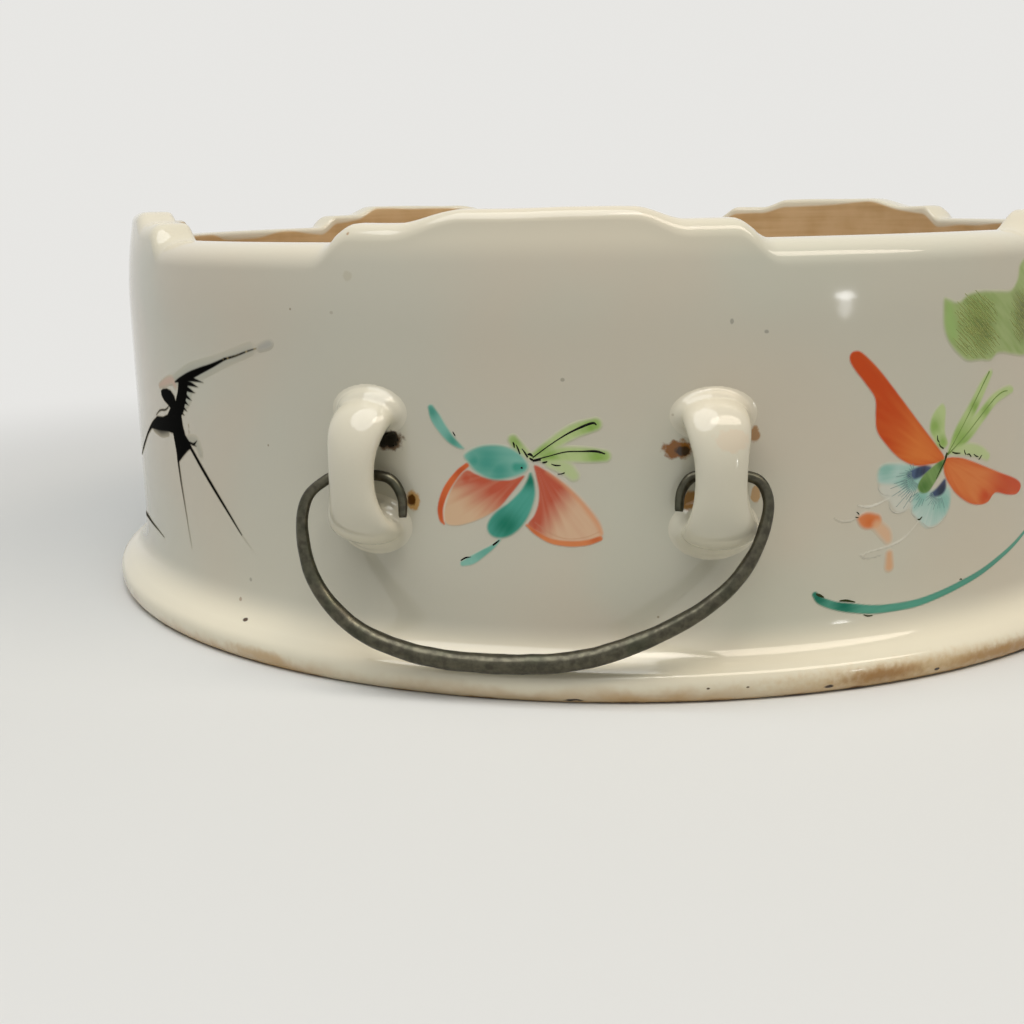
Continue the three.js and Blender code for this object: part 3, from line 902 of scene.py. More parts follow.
def layEnamel(name, painted, material, turn=0):
    # a thin skin of enamel where the canvas is painted; its edge dips just under the glaze
    along, height, colour, cover = painted
    rows, columns = cover.shape
    faces = np.array(gridFaces(rows, columns))
    faces = faces[cover.ravel()[faces].max(axis=1) > brush["faintest"]]
    kept, renumbered = np.unique(faces, return_inverse=True)
    full = smoothstep(0, brush["fullCover"], cover.ravel()[kept])
    proud = -brush["edgeDip"] + (brush["enamelHeight"] + brush["edgeDip"]) * full
    turned = math.radians(turn) * wall
    places = zip(along.ravel()[kept], height.ravel()[kept], proud)
    vertices = [wallPoint(a + turned, h, p) for a, h, p in places]
    piece = makePiece(name, vertices, renumbered.reshape(-1, 4).tolist(), material)
    layer = piece.data.color_attributes.new("enamel", "FLOAT_COLOR", "POINT")
    paint = np.column_stack([colour.reshape(-1, 3)[kept], cover.ravel()[kept]])
    layer.data.foreach_set("color", paint.ravel())
    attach(piece, "vessel")


def drawLines(name, lines, material, turn=0):
    # fine raised lines, each a low ridge along its own path; points are (along, height, half width)
    vertices, faces = [], []
    turned = math.radians(turn) * wall
    for points in lines:
        line = smoothLine(points, 6)
        ahead = np.gradient(line[:, :2], axis=0)
        ahead /= np.maximum(np.linalg.norm(ahead, axis=1, keepdims=True), 1e-9)
        first = len(vertices)
        for (along, height, width), (goAlong, goHeight) in zip(line, ahead):
            width = max(width, brush["thinnestLine"])
            for offset, lift in brush["ridge"]:
                vertices.append(wallPoint(along - offset * width * goHeight + turned,
                                          height + offset * width * goAlong, brush["lineHeight"] * lift))
        ribbon = tubeFaces(len(line), len(brush["ridge"]), closedColumns=False)
        faces += [tuple(first + v for v in face) for face in ribbon]
    piece = makePiece(name, vertices, faces, material)
    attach(piece, "vessel")


leaf, deepLeaf, inkBlack = "#BCD08F", "#8FB356", "#040403"
wetBrush = {"hairTurn": -38, "hairLength": 3}

moth = {
    "area": {"along": (-19, 13.5), "height": (18.5, 49), "fineness": 0.17},
    "strokes": (
        stroke(leaf, 0.9, (-0.2, 38.7, 0.5), (2.6, 40.6, 0.85), (6.2, 42.8, 1.1), (9.6, 43.9, 0.95),
            deep=deepLeaf, deepAt=((9, 43.4, 1.8), (1.2, 39.5, 1.6))),
        stroke(leaf, 0.9, (1.5, 38.7, 0.8), (4.5, 39.2, 1.1), (8, 39.1, 1.15), (11.1, 38.9, 0.85),
            deep=deepLeaf, deepAt=((10, 38.7, 1.8), (2.4, 38.6, 1.6))),
        stroke(leaf, 1.1, (2.4, 37.7, 0.6), (4.9, 37, 1.0), (6.2, 35.8, 0.8), strength=0.8),
        stroke(leaf, 0.9, (-3.3, 41.4, 0.75), (-2.5, 40.4, 0.8), (-0.9, 39, 0.5), deep=deepLeaf,
            deepAt=((-3, 41, 1.4),), strength=0.9),
        stroke("#7DBCAC", 0.5, (-16.7, 46.1, 0.5), (-16, 44.6, 0.85), (-14.9, 42.9, 0.8),
            (-13.5, 41.2, 0.66), (-12.2, 40.2, 0.4), (-11.4, 39.8, 0.1), deep="#4F9C8A",
            deepAt=((-13, 41, 1.4), (-16.4, 45.6, 1.2))),
        wash("#DDBB97", 0.4, (-1.6, 35.7), (-4, 34.9), (-7.4, 35.1), (-9.4, 35.7), (-10.8, 36.3),
            (-12, 35.4), (-13.4, 33.4), (-14.5, 30.8), (-14.95, 28.6), (-14.4, 27.3), (-12.6, 27.2),
            (-10.2, 27.9), (-8.2, 28.8), (-7.2, 29.4), (-5.6, 30.5), (-4, 32.4), (-2.4, 34.4),
            deep="#C65A3E", grade=((-7, 35), (-11.5, 28.2)), deepAt=((-11, 35.2, 1.8), (-3.2, 34.4, 2.6)),
            fan=(0, 38), hairs=0.22),
        stroke("#F0D9BE", 0.25, (-11.3, 36.3, 0.05), (-13, 34.7, 0.1), (-14.3, 32.2, 0.12),
            (-15, 29.6, 0.1), (-14.9, 27.6, 0.05), strength=0.9),
        stroke("#DA6A34", 0.3, (-10.9, 37.1, 0.38), (-12.5, 35.7, 0.46), (-14.4, 33.1, 0.55),
            (-15.5, 30.3, 0.5), (-15.5, 28.2, 0.4), (-15, 27.3, 0.15), deep="#C95524",
            deepAt=((-15.3, 30, 2), (-12, 36, 1.2))),
        wash("#7DBDAC", 0.8, (-11.2, 38.8), (-8.6, 40.2), (-5.2, 40.4), (-2.6, 39.4), (-1, 37.5),
            (-1.6, 36.2), (-3.8, 35.3), (-6.6, 34.9), (-9.2, 36), (-10.6, 37.5), deep="#4A9F8E",
            deepAt=((-7.6, 38, 2.8), (-9.6, 38, 1.4), (-5.6, 36.2, 2)), hairTurn=0),
        stroke("#2B9A84", 0.9, (-2.8, 37, 0.7), (-1.9, 37.1, 0.55), strength=0.8),
        wash("#E0BC9A", 0.4, (0.1, 37.4), (2.4, 36.2), (5, 34.2), (7.6, 31.6), (9.5, 29.2), (10.7, 26.9),
            (10.2, 25.6), (8.2, 25), (5.6, 24.8), (2.6, 25.6), (0.1, 26.9), (-1.1, 27.8), (-0.1, 29.3),
            (0.6, 31.3), (0.7, 33.5), (0.3, 35.7), deep="#C45A40", grade=((0.8, 30.5), (5.6, 27.6)),
            deepAt=((0.5, 28.4, 1.6), (1.4, 34.8, 2.6), (2.6, 32.2, 2.4)), fan=(0, 38), hairs=0.2),
        stroke("#DE9A70", 0.9, (2, 36.3, 0.1), (4.9, 34.1, 0.25), (7.5, 31.3, 0.4), (9.7, 28.4, 0.4),
            (10.5, 26.6, 0.2), strength=0.75),
        stroke("#C98F70", 0.25, (0, 28.2, 0.06), (2.2, 26.6, 0.09), (5, 25.6, 0.08), (8, 25.9, 0.06),
            (10.2, 26.8, 0.05), strength=0.6),
        stroke("#E08852", 0.3, (-1.3, 27.7, 0.2), (0.3, 26.4, 0.36), (2.6, 25.2, 0.42), (5.4, 24.8, 0.46),
            (8.2, 25, 0.45), (10.3, 25.7, 0.4), deep="#D26E3C", deepAt=((0, 26.8, 1.5), (9.6, 25.6, 1.2))),
        stroke("#4FA896", 0.6, (-0.6, 36, 0.2), (-0.65, 34.6, 0.65), (-1.25, 32.4, 1.3),
            (-2.9, 29.8, 1.95), (-4.7, 28.1, 2.25), (-6, 27.2, 1.75), (-6.8, 26.9, 0.75), deep="#067A61",
            deepAt=((-4.6, 27.6, 2.4), (-0.6, 34.9, 1.3)), hairTurn=55),
        stroke("#8AC4B3", 0.4, (-5.8, 25.1, 0.2), (-6.9, 24, 0.34), (-8.6, 22.8, 0.55),
            (-10.4, 21.6, 0.68), (-12, 20.9, 0.42), deep="#6BB09E", deepAt=((-8, 23.2, 2),)),
    ),
    "lines": (
        ((-0.2, 38.6, 0.12), (2.5, 40.6, 0.1), (5.1, 42.3, 0.14), (7.5, 43.5, 0.22), (9.2, 44.1, 0.22),
         (9.8, 43.8, 0.1)),
        ((0, 38.2, 0.14), (2.5, 38.9, 0.1), (5, 39.55, 0.12), (7.5, 39.65, 0.13), (9.7, 39.65, 0.22),
         (11.1, 39.25, 0.12)),
        ((-3.3, 41, 0.1), (-3.15, 40.6, 0.17), (-3.1, 40.1, 0.08)),
        ((-2.8, 40.6, 0.06), (-2.5, 39.9, 0.15), (-2.2, 39.1, 0.12)),
        ((-1.9, 40, 0.06), (-1.4, 39.3, 0.16), (-1.0, 38.6, 0.17)),
        ((-1, 39.05, 0.14), (-0.6, 39.1, 0.26), (-0.2, 38.8, 0.14)),
        ((-0.7, 38.5, 0.14), (-0.3, 38.25, 0.22), (0, 38.1, 0.1)),
        ((-0.2, 38.05, 0.14), (0.4, 38.2, 0.22), (1.1, 38.25, 0.12)),
        ((1.3, 37.8, 0.1), (1.7, 37.85, 0.18), (2.1, 38.0, 0.1)),
        ((2.7, 37.6, 0.06), (3.4, 37.4, 0.15), (4.2, 37.4, 0.08)),
        ((3.7, 36, 0.05), (4.3, 36.05, 0.1), (4.8, 36.25, 0.12)),
        ((-2.15, 36.95, 0.1), (-1.98, 36.93, 0.2), (-1.8, 36.9, 0.1)),
        ((-6.9, 24.2, 0.15), (-6.4, 24.6, 0.18), (-5.8, 25.1, 0.1)),
        ((-12.3, 21.4, 0.1), (-11.5, 21.9, 0.14), (-10.6, 22.1, 0.06)),
        ((-13.1, 42.4, 0.04), (-12.9, 42, 0.1), (-12.7, 41.7, 0.04)),
    ),
}

butterfly = {
    "area": {"along": (44, 100), "height": (9, 55.6), "fineness": 0.2},
    "strokes": (
        wash("#B5D2C9", 1.0, (56.2, 34.6), (57.4, 35.5), (60.7, 35.3), (64.4, 34.6), (65, 32.6),
            (64, 30.6), (61.8, 30.4), (59.6, 31.8), (57.4, 32.2), (56.2, 32.8), deep="#8FBFB2",
            deepAt=((57.6, 34.4, 1.8), (62.6, 32.2, 2.6)), fan=(66, 34), hairs=0.3),
        wash("#D5DAD0", 1.1, (56.6, 32), (59.4, 32), (63, 30.6), (63.4, 28.8), (62, 27.4), (60, 27.4),
            (58.6, 29.2), (57, 30.4), strength=0.6),
        wash("#C2D6CD", 1.0, (63.8, 30.2), (67, 30.2), (70.9, 30.4), (71.5, 27.6), (70.6, 25.6),
            (68.8, 24.3), (66.4, 24.1), (64.8, 25.4), (63.2, 27), (63, 28.6), deep="#8CBFB2",
            deepAt=((69.6, 27.8, 2.6), (65, 29.4, 2)), fan=(68.4, 31), hairs=0.3),
        stroke("#46587E", 0.6, (62.4, 33.3, 0.55), (63.6, 33.4, 0.95), (65.2, 33.8, 0.85), (66.6, 34, 0.3),
            deep="#141F48", deepAt=((64.9, 33.7, 1.5),), strength=0.95, hairTurn=80, hairs=0.5),
        stroke("#384A74", 0.6, (69.9, 31.5, 0.35), (69.4, 30.3, 0.9), (68.3, 29.7, 0.7),
            (67.2, 29.5, 0.35), deep="#101A3E", deepAt=((69.2, 30.1, 1.5),), strength=0.95, hairTurn=60,
            hairs=0.5),
        wash(leaf, 0.7, (69.4, 37), (68, 37.4), (67, 38.8), (66.1, 40.6), (66.6, 42.8), (68.4, 44.4),
            (69.3, 43.4), (69.3, 41.2), (69.5, 39.4), (70.2, 37.8), deep=deepLeaf,
            deepAt=((67, 40.8, 1.4), (69, 38, 1.2)), strength=0.95),
        stroke(leaf, 0.8, (70.8, 36.6, 0.5), (72.9, 39.4, 1.3), (75.6, 43.2, 1.15), (78, 46.8, 0.95),
            (79.5, 48.6, 0.5), deep=deepLeaf, deepAt=((72.6, 38.6, 2.4), (76, 43.4, 1.2)), hairTurn=55),
        stroke(leaf, 0.8, (71.2, 36.6, 0.6), (74.4, 38.8, 1.3), (77.8, 41.6, 1.15), (81, 44.1, 1.0),
            (84.4, 45.2, 0.8), (85.6, 45.2, 0.5), deep=deepLeaf, deepAt=((73.4, 38, 2.6), (79, 42.4, 1.4)),
            hairTurn=40),
        stroke(leaf, 0.9, (71.4, 36.4, 0.6), (74.8, 36.3, 1.0), (77.8, 35.6, 0.95), (80, 34.5, 0.7),
            strength=0.85),
        wash("#DF7A30", 0.3, (50.2, 53.5), (51, 54), (52.4, 53.6), (55.6, 50.8), (60, 46), (64, 41.6),
            (67.5, 37.9), (69.5, 35.7), (69, 34.9), (66, 34.6), (63, 34.8), (60, 36.3), (57.4, 38.7),
            (55.6, 41), (55.2, 43.4), (55, 46.2), (53.4, 48.4), (51.2, 50.9), (50.2, 52.4), deep="#CA4800",
            grade=((56, 42), (66.5, 39)), deepEdge=0.9, edgeTone=0.75, deepAt=((52, 51.4, 3.4),),
            fan=(71, 33.6), hairs=0.28),
        wash("#E0803E", 0.3, (69.8, 35.2), (73, 35.1), (76, 34.2), (80, 32.7), (84, 31.2), (88, 29.8),
            (90.1, 28.7), (90.5, 27.6), (89.2, 26.7), (86.4, 27), (83.4, 27.8), (82.3, 27.6), (81, 26.5),
            (78.8, 26.3), (76, 27), (73, 28.8), (71, 30.8), (69.7, 33), deep="#CC4800",
            grade=((86, 28), (76.5, 32)), deepEdge=0.8, edgeTone=0.7, deepAt=((80, 27.4, 1.8),),
            fan=(69, 35.6), hairs=0.25),
        wash("#7C9E5A", 0.35, (69.8, 35.1), (69.3, 33.5), (67.9, 31.6), (66.5, 30.1), (65, 30),
            (64.1, 31.1), (64.9, 32.6), (66.5, 33.8), (68.3, 34.8), deep="#4F7A34",
            deepAt=((65.6, 31, 1.5), (69, 34.4, 1)), hairs=0.4),
        stroke("#DC8650", 0.9, (53, 26.9, 0.4), (54.4, 26.5, 1.3), (56, 26.3, 1.1), deep="#D8743A",
            deepAt=((54.8, 26.4, 1.2),), hairTurn=45),
        stroke("#E0B28A", 1.3, (56.4, 25.5, 0.9), (58, 24, 1.0), (58.6, 23, 0.7), strength=0.8),
        stroke("#DBA678", 1.1, (59, 20.4, 0.6), (59.1, 18.3, 0.8), strength=0.85),
        stroke("#E4E2D6", 0.3, (58.4, 29.8, 0.05), (56.6, 29.15, 0.14), (54.9, 28.8, 0.17),
            (53.6, 28.9, 0.12), (52.6, 29.2, 0.05), strength=0.9),
        stroke("#DDDACD", 0.32, (65, 25.6, 0.06), (63.3, 23.9, 0.08), (61.6, 22.7, 0.14), (60, 22.1, 0.17),
            (58.2, 21.7, 0.12), (55.5, 21.3, 0.08), (53.3, 20.8, 0.05), strength=0.9),
        stroke("#B9B6A8", 0.25, (53.4, 20.8, 0.08), (54.3, 20.25, 0.12), (55.8, 20.2, 0.1),
            (57.4, 20.5, 0.06)),
        stroke("#BEBAAC", 0.3, (48.4, 27.4, 0.05), (49.6, 26.8, 0.12), (51.3, 26.7, 0.12),
            (52.4, 27.1, 0.05), strength=0.8),
        stroke("#569F8A", 0.28, (45.4, 15, 0.5), (46.4, 13.9, 0.66), (49, 12.8, 0.72), (52, 12.1, 0.8),
            (56, 11.4, 0.74), (60, 11.2, 0.68), (65, 11.3, 0.64), (70, 12, 0.6), (75, 13, 0.58),
            (80, 14.2, 0.54), (85, 15.9, 0.48), (90, 17.9, 0.4), (94.5, 20.4, 0.3), (98, 23, 0.12),
            deep="#07705A", deepAt=((46, 14.4, 2), (50.8, 12.8, 2.4)), deepEdge=0.2, edgeTone=0.5,
            hairTurn=10),
    ),
    "feelers": (
        ((70.1, 35.7, 0.14), (72.7, 39.3, 0.1), (75.3, 43.1, 0.11), (77.6, 46.6, 0.15), (79.2, 48.9, 0.2)),
        ((70.4, 35.9, 0.16), (74, 38.5, 0.1), (77.8, 41.7, 0.11), (81, 44.2, 0.13), (83, 45.1, 0.14),
         (84.4, 45.2, 0.1)),
    ),
    "lines": (
        ((67.8, 39.3, 0.08), (67.9, 38.6, 0.15), (68.3, 38.1, 0.1)),
        ((68.3, 37.9, 0.08), (68.6, 37.4, 0.15), (69.3, 37, 0.16)),
        ((70.2, 36.2, 0.16), (70, 35.6, 0.24), (69.6, 34.6, 0.18), (68.8, 33.4, 0.12), (68, 32, 0.05)),
        ((71.3, 36.2, 0.1), (72.2, 35.9, 0.17), (73.2, 35.8, 0.1)),
        ((74.1, 36.3, 0.06), (74.3, 35.8, 0.14), (74.6, 35.4, 0.1)),
        ((74.8, 35.4, 0.08), (75.4, 35.4, 0.15), (75.9, 34.9, 0.1)),
        ((76.5, 35.3, 0.08), (77.1, 34.9, 0.15), (77.7, 34.7, 0.1)),
        ((77.9, 34.2, 0.08), (78.2, 34.5, 0.15), (78.6, 34.9, 0.06)),
        ((45.6, 15.1, 0.16), (46.2, 14.8, 0.26), (47, 14.4, 0.12)),
        ((49.9, 13.5, 0.1), (51.2, 13.4, 0.2), (52.8, 13, 0.08)),
        ((54.4, 10.7, 0.06), (55.2, 10.4, 0.13), (56.1, 10.4, 0.06)),
        ((64.4, 25.7, 0.06), (64.9, 25.6, 0.18), (65.4, 26, 0.08)),
        ((52.4, 28.1, 0.03), (52.7, 27.9, 0.1), (52.9, 27.6, 0.03)),
        ((52.2, 27.3, 0.03), (52.5, 27.2, 0.1), (52.8, 27.2, 0.03)),
        ((74.9, 13.8, 0.04), (75.2, 13.9, 0.12), (75.5, 13.7, 0.04)),
    ),
    # fine hairs fan out from each eye spot: centre, inner and outer reach, first and last angle, count
    "fringes": (
        ((64.8, 33.6), (2.0, 4.6), (178, 250), 13),
        ((65.4, 33.0), (3.6, 6.2), (188, 232), 9),
        ((63.2, 33.5), (0.7, 1.7), (100, 260), 9),
        ((68.9, 30.2), (1.5, 3.0), (200, 292), 12),
        ((66.4, 31.2), (2.4, 4.0), (205, 250), 6),
    ),
    "scallops": (
        ((56.3, 32.4, 0.04), (56.4, 31.4, 0.07), (57.4, 30.5, 0.05), (58.4, 30.4, 0.04)),
        ((58.5, 29.6, 0.04), (58.8, 28, 0.07), (60.2, 27.2, 0.07), (61.8, 27.5, 0.06), (62.6, 28.6, 0.04)),
        ((63.2, 28.2, 0.04), (63.2, 26.8, 0.07), (64.2, 25.9, 0.06)),
        ((65.6, 24.9, 0.04), (67, 24, 0.07), (68.9, 24.2, 0.07), (70.4, 25.4, 0.05)),
    ),
}

foliage = {
    "area": {"along": (66.5, 101), "height": (49, 68.6), "fineness": 0.2},
    "strokes": (
        wash("#A3B873", 1.0, (68, 61.4), (69.4, 60.8), (71.3, 60.7), (73.4, 61.8), (76.7, 62.1),
            (80.8, 61.9), (83.8, 61.9), (85.6, 63.6), (86.4, 66), (88.6, 67.2), (92, 67), (95.4, 64.8),
            (98, 61.4), (98.6, 57.4), (96.4, 53.4), (92.4, 51.4), (88.3, 50.9), (85.3, 51.3), (82.5, 51.8),
            (80.8, 51.7), (79.3, 50.8), (76.8, 51), (73.8, 51.1), (71.9, 52.1), (70.2, 53.5), (68.9, 55.1),
            (68.1, 57.2), (67.8, 60), deep="#84A04C", deepAt=((76, 58, 4), (88, 56, 4)), strength=0.95,
            hairs=0.5, **wetBrush),
        stroke("#9DC070", 1.8, (69, 60.4, 0.5), (69.4, 57.6, 1.1), (70.2, 55.4, 0.8), strength=0.8),
        stroke("#8A9C52", 3.6, (74.4, 59.8, 0.6), (76.2, 57.4, 2.0), (77.4, 54.8, 1.9), (77.6, 53.6, 0.8),
            deep="#6F8040", deepAt=((77.4, 55.6, 2.4),), strength=0.85, hairs=1.0, **wetBrush),
        stroke("#8B9458", 3.0, (85.4, 61, 0.6), (87.4, 58.4, 1.8), (87.6, 55, 1.4), deep="#6C7240",
            deepAt=((87.4, 58, 2.2),), strength=0.85, hairs=1.0, **wetBrush),
        stroke("#8B9A58", 3.0, (92, 63.4, 0.8), (94, 60, 1.6), (94, 56.4, 1.2), deep="#6C7A40",
            deepAt=((94, 59, 2),), strength=0.7, hairs=1.0, **wetBrush),
    ),
    # short slanting strokes over the wet wash: middle, reach, count
    "hairPatches": (
        ((75.4, 58.4), (4.6, 3.2), 90),
        ((76, 54.2), (5.0, 2.6), 80),
        ((87.6, 57.6), (3.4, 4.0), 64),
    ),
}

feathers = (
    ((-74.5, 47.4, 0.5), (-71, 47.4, 0.38), (-67.4, 47.2, 0.04)),
    ((-75, 46.6, 0.6), (-72, 46.5, 0.42), (-69.4, 46.2, 0.04)),
    ((-75.5, 45.8, 0.6), (-73, 45.4, 0.45), (-70.6, 45, 0.04)),
    ((-76, 44.9, 0.7), (-74, 44.1, 0.42), (-72.1, 43.5, 0.04)),
    ((-76.6, 43.9, 0.8), (-74.8, 43, 0.4), (-73.3, 42.5, 0.04)),
    ((-77, 42.8, 0.8), (-75.6, 41.9, 0.4), (-74.2, 41.3, 0.04)),
    ((-77.4, 41.6, 0.7), (-76.4, 40.8, 0.3), (-75.4, 40.4, 0.04)),
)
swallow = {
    "area": {"along": (-125, -46), "height": (9.6, 57), "fineness": 0.17},
    "strokes": (
        stroke("#A9AFA8", 2.2, (-78, 46.8, 0.8), (-72, 48.4, 1.5), (-66, 50, 1.3), (-60, 51.8, 1),
            (-53, 54, 0.9), strength=0.4),
        stroke("#A3A6A4", 1.4, (-50.6, 54.3, 0.5), (-48.4, 55, 0.7), (-47.6, 55.2, 0.3), strength=0.55),
        stroke("#A3AEA6", 1.8, (-77, 43, 1.4), (-74, 44, 1.4), (-73, 47, 1), strength=0.5),
        stroke("#A8ACA2", 1.6, (-74.6, 36, 0.6), (-71.6, 36, 0.9), (-70, 34, 0.6), strength=0.45),
        stroke("#34342E", 1.7, (-93, 35.9, 0.3), (-88, 35.9, 0.7), (-84, 36.4, 0.5), strength=0.85,
            hairTurn=90, hairs=0.3),
        stroke("#D9BFAE", 1.0, (-86.8, 44.8, 0.3), (-83, 45.9, 0.7), (-80, 46.5, 0.7), (-78.6, 45.6, 0.5),
            strength=0.85),
        wash(inkBlack, 0.3, (-86.3, 43.9), (-85.1, 44.4), (-82.9, 44.7), (-80.9, 44.5), (-79.4, 43.7),
            (-78.9, 42.8), (-77.8, 44.4), (-77, 46.6), (-75, 46.9), (-73, 46.8), (-74, 44), (-75.6, 41.2),
            (-76.7, 40.2), (-76.4, 38.5), (-75.6, 36.8), (-74.4, 36), (-73.2, 34.7), (-75, 33.9),
            (-77, 32.7), (-79, 31.4), (-80, 30.9), (-80.4, 33.4), (-81.3, 36.4), (-84, 36.4), (-88, 36),
            (-91.6, 35.8), (-94.6, 35.6), (-92.5, 37.4), (-90, 38.6), (-86, 39), (-83.5, 39.7),
            (-81.8, 41.1), (-83.2, 41.7), (-84.9, 42.2), (-86.1, 43), crisp=True),
        stroke(inkBlack, 0.3, (-78.6, 46.3, 0.15), (-76, 47, 0.5), (-72, 48.1, 0.75), (-68, 49.3, 0.62),
            (-64, 50.5, 0.42), (-60, 51.9, 0.24)),
        stroke("#15110A", 0.3, (-60.4, 51.8, 0.24), (-57, 52.6, 0.2), (-54, 53.5, 0.16),
            (-51.4, 54.2, 0.1), deep="#A08F63", hairTurn=105, hairs=1.6, hairLength=2),
        *(stroke(inkBlack, 0.3, *feather) for feather in feathers),
        stroke(inkBlack, 0.4, (-88, 37.4, 1.0), (-91, 37.2, 0.85), (-94, 36.3, 0.55), (-98, 34.4, 0.36),
            (-102, 32.2, 0.36), (-106, 30.2, 0.38), (-110.5, 28.3, 0.25), (-113.5, 27.4, 0.05)),
        stroke(inkBlack, 0.3, (-82.6, 41.3, 0.12), (-84.4, 40.5, 0.17), (-87.6, 40, 0.15),
            (-90.4, 38.8, 0.1)),
        stroke(inkBlack, 0.35, (-75, 35.2, 0.5), (-73.6, 34.5, 0.45), (-70.4, 31.8, 0.45), (-66, 28, 0.4),
            (-62, 24.4, 0.3), (-58.3, 20.8, 0.16)),
        stroke("#8C877A", 0.5, (-58.4, 20.9, 0.16), (-56.6, 19.4, 0.14), (-54.6, 17.8, 0.1), strength=0.45,
            fade=0.7),
        stroke("#14130F", 0.4, (-79.8, 31.6, 0.45), (-79.1, 27.6, 0.4), (-78.2, 23.5, 0.32),
            (-77.4, 19.6, 0.26), (-76.4, 15.2, 0.16), fade=0.75),
        stroke(inkBlack, 0.3, (-75.8, 35.7, 0.3), (-73.4, 35.5, 0.26), (-72.3, 35.5, 0.28),
            (-71, 36.3, 0.06)),
        stroke(inkBlack, 0.3, (-73.2, 35.4, 0.15), (-71.5, 35.2, 0.1)),
        stroke("#8A7A52", 0.3, (-74.1, 38.9, 0.12), (-74, 38.5, 0.1), strength=0.8),
        stroke("#8A7A52", 0.3, (-74.1, 37.7, 0.12), (-74, 37.4, 0.1), strength=0.8),
        stroke("#25241A", 0.4, (-91.5, 14.3, 0.1), (-96, 14.9, 0.2), (-102, 15.2, 0.34),
            (-108, 15.2, 0.45), (-115, 14.4, 0.5), (-123, 12.4, 0.4)),
    ),
}


def fringeLines(centre, ends, turns, count):
    lines = []
    inner, outer = ends
    for number in range(count):
        turn = math.radians(turns[0] + (turns[1] - turns[0]) * number / (count - 1))
        ragged = 1 + 0.18 * math.sin(2.4 * number)
        reaches = (inner, 0.07), ((inner + outer) / 2, 0.055), (outer * ragged, 0.03)
        lines.append([(centre[0] + reach * math.cos(turn), centre[1] + reach * math.sin(turn), width)
                      for reach, width in reaches])
    return lines


def wetHairs(middle, reach, count):
    # scattered by the golden angle, so that they lie unevenly but don't clump
    lines = []
    for number in range(count):
        turn, share = 2.4 * number, math.sqrt((number + 0.5) / count)
        along = middle[0] + reach[0] * share * math.cos(turn)
        height = middle[1] + reach[1] * share * math.sin(turn)
        length = 0.75 + 0.35 * math.sin(5 * number)
        lines.append(((along - length, height + 0.75 * length, 0.03), (along, height, 0.065),
                      (along + length, height - 0.8 * length, 0.03)))
    return lines


greyLine = lineEnamel("grey_outline_enamel", "#CCCABF", 0.3)
mossLine = lineEnamel("moss_green_line", "#A9B26C", 0.35)
feelerLine = lineEnamel("feeler_green_line", "#7E9A50", 0.35)
oliveLine = lineEnamel("olive_line", "#2E3616", 0.35)
slateLine = lineEnamel("slate_green_line", "#7C9A98", 0.35)
fringe = [line for group in butterfly["fringes"] for line in fringeLines(*group)]
hairs = [line for group in foliage["hairPatches"] for line in wetHairs(*group)]
painted = {name: paintCanvas(motif["area"], motif["strokes"]) for name, motif in
           (("moth", moth), ("butterfly", butterfly), ("foliage", foliage), ("swallow", swallow))}

drawings = (("moth_lines", moth["lines"], blackLine), ("butterfly_feelers", butterfly["feelers"], feelerLine),
            ("butterfly_lines", butterfly["lines"], oliveLine), ("butterfly_fringes", fringe, slateLine),
            ("butterfly_scallops", butterfly["scallops"], greyLine), ("foliage_hairs", hairs, mossLine))
for side, turn in (("front", 0), ("back", 180)):
    for name, canvas in painted.items():
        layEnamel(side + "_" + name + "_enamel", canvas, blackEnamel if name == "swallow" else enamel, turn)
    for name, lines, material in drawings:
        drawLines(side + "_" + name, lines, material, turn)
print("painting done")


# floor, light, camera

stage = {
    "paper": "#D9DBDA",
    "distance": "#EFEEEB",  # the paper far behind, where it melts into the background
    "meltFade": (0.14, 0.34),  # metres from the middle of the bowl between which it melts
    "glow": (0.27, 0.93),  # of the room as it lights the scene, and as it is seen
    "reach": 2400,
    "curve": 500,
    "wallHeight": 1800,
    # name, place, target, size, watts, colour
    "lamps": (
        ("key", (-0.14, -0.3, 0.75), (0, 0, 0.03), (0.75, 0.75), 4.2, "#FFFFFF"),
        ("fill", (0.44, -0.22, 0.75), (0.29, 0.05, 0), (0.9, 0.27), 2.9, "#FFF1DF"),
        ("window", (0.802, -0.576, 0.085), (0.047, -0.093, 0.06), (0.07, 0.03), 0.07, "#FFFFFF"),
        ("window_glow", (0.802, -0.576, 0.04), (0.047, -0.093, 0.06), (0.05, 0.07), 0.04, "#FFFFFF"),
    ),
}
camera = {
    "place": (0.03409, -0.31114, 0.0779),
    "focalLength": 47.99,
    "frameWidth": 36,
    "clipStart": 0.01,
    "yaw": -10.33,  # degrees the view turns to the left of straight ahead
    "pitch": 12.88,  # and looks down
    "roll": -1.0,
}


def roomGlow(tree):
    # the camera and the glaze see a bright room, of which only a part lights the scene
    rays = addNode(tree, "LightPath").node.outputs
    seen = addNode(tree, "Math", {0: rays["Is Camera Ray"], 1: rays["Is Glossy Ray"]}, operation="MAXIMUM")
    return addNode(tree, "MapRange", {0: seen, **fade(0, 1, *stage["glow"])}, **smooth)


def paleSweep():
    # plain matt paper: near the bowl it takes light and shadow, far away it is an even pale background
    material, tree, place = newMaterial("pale_paper")
    reach = addNode(tree, "VectorMath", {0: place}, "Value", operation="LENGTH")
    melted = addNode(tree, "MapRange", {0: reach, **fade(*stage["meltFade"])}, **smooth)
    matt = addNode(tree, "BsdfDiffuse", {"Color": linearColour(stage["paper"])})
    lit = addNode(tree, "Emission", {"Color": linearColour(stage["distance"]), "Strength": roomGlow(tree)})
    addNode(tree, "OutputMaterial", {0: addNode(tree, "MixShader", {0: melted, 1: matt, 2: lit})})
    return material


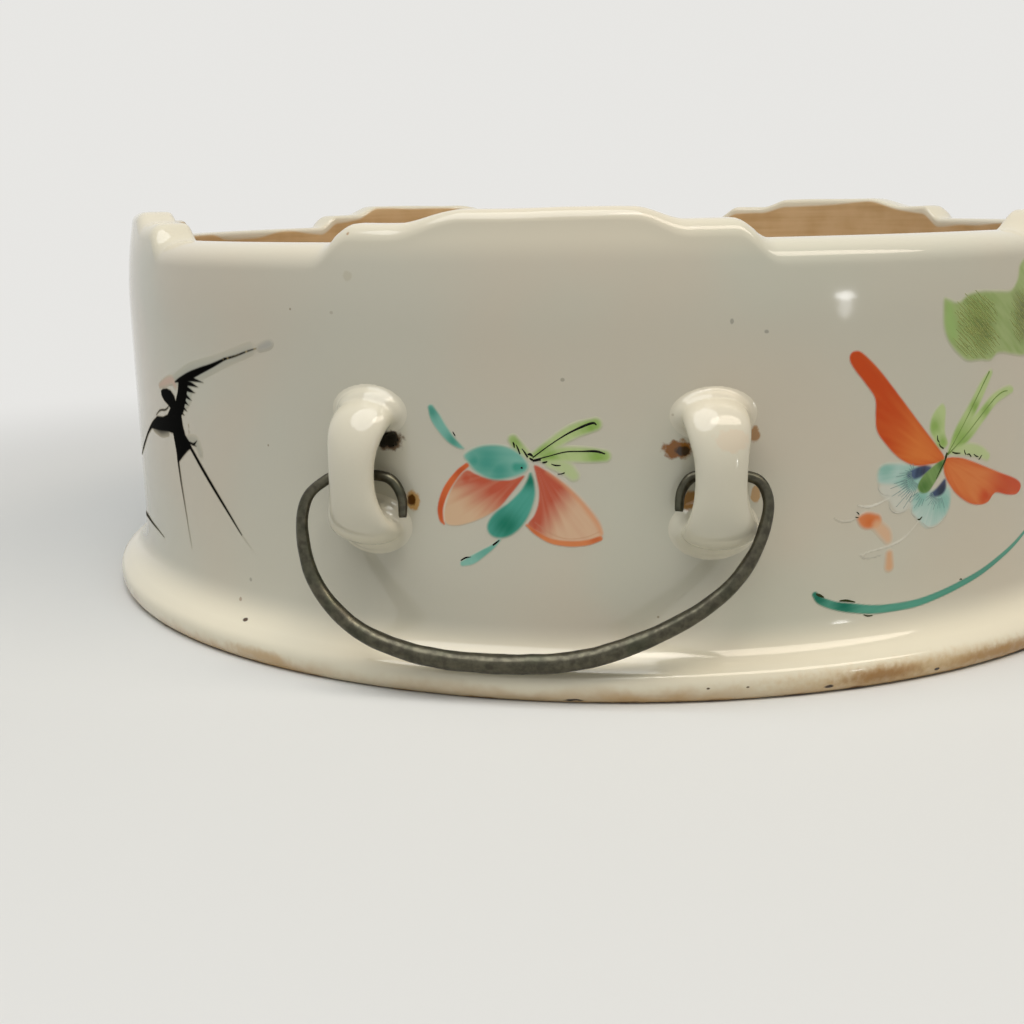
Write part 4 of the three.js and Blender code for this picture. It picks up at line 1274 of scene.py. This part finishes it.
def makeSweep():
    reach, curve = stage["reach"], stage["curve"]
    section = [(-reach, 0), (reach - curve, 0)] + corner(reach, 0, curve, -curve, 80, 0, 9)
    section.append((reach, stage["wallHeight"]))
    vertices = [(x, y, z) for y, z in section for x in (-reach, reach)]
    makePiece("paper_sweep", vertices, gridFaces(len(section), 2), paleSweep())


def makeWorld():
    world = bpy.data.worlds.new("pale_room")
    world.use_nodes = True
    tree = world.node_tree
    tree.nodes.clear()
    room = addNode(tree, "Background", {"Color": linearColour(stage["distance"]), "Strength": roomGlow(tree)})
    addNode(tree, "OutputWorld", {0: room})
    bpy.context.scene.world = world


def areaLight(name, place, target, size, power, colour):
    light = bpy.data.lights.new(name, "AREA")
    light.shape = "ELLIPSE"
    light.size, light.size_y = size
    light.energy = power
    light.color = linearColour(colour)[:3]
    lamp = bpy.data.objects.new(name, light)
    lamp.location = place
    lamp.rotation_euler = (Vector(target) - Vector(place)).to_track_quat("-Z", "Y").to_euler()
    lamp.visible_camera = False
    bpy.context.scene.collection.objects.link(lamp)


def makeCamera():
    data = bpy.data.cameras.new("camera")
    data.lens = camera["focalLength"]
    data.sensor_width = camera["frameWidth"]
    data.clip_start = camera["clipStart"]
    yaw, pitch, roll = (math.radians(camera[key]) for key in ("yaw", "pitch", "roll"))
    ahead = Vector((math.sin(yaw) * math.cos(pitch), math.cos(yaw) * math.cos(pitch), -math.sin(pitch)))
    right = Vector((math.cos(yaw), -math.sin(yaw), 0))
    up = right.cross(ahead)
    rolledRight = math.cos(roll) * right + math.sin(roll) * up
    rolledUp = math.cos(roll) * up - math.sin(roll) * right
    turn = Matrix((rolledRight, rolledUp, -ahead)).transposed().to_4x4()
    view = bpy.data.objects.new("camera", data)
    view.matrix_world = Matrix.Translation(camera["place"]) @ turn
    bpy.context.scene.collection.objects.link(view)
    bpy.context.scene.camera = view


makeSweep()
makeWorld()
for lamp in stage["lamps"]:
    areaLight(*lamp)
makeCamera()
bpy.context.scene.view_settings.view_transform = "Standard"
print("stage set")
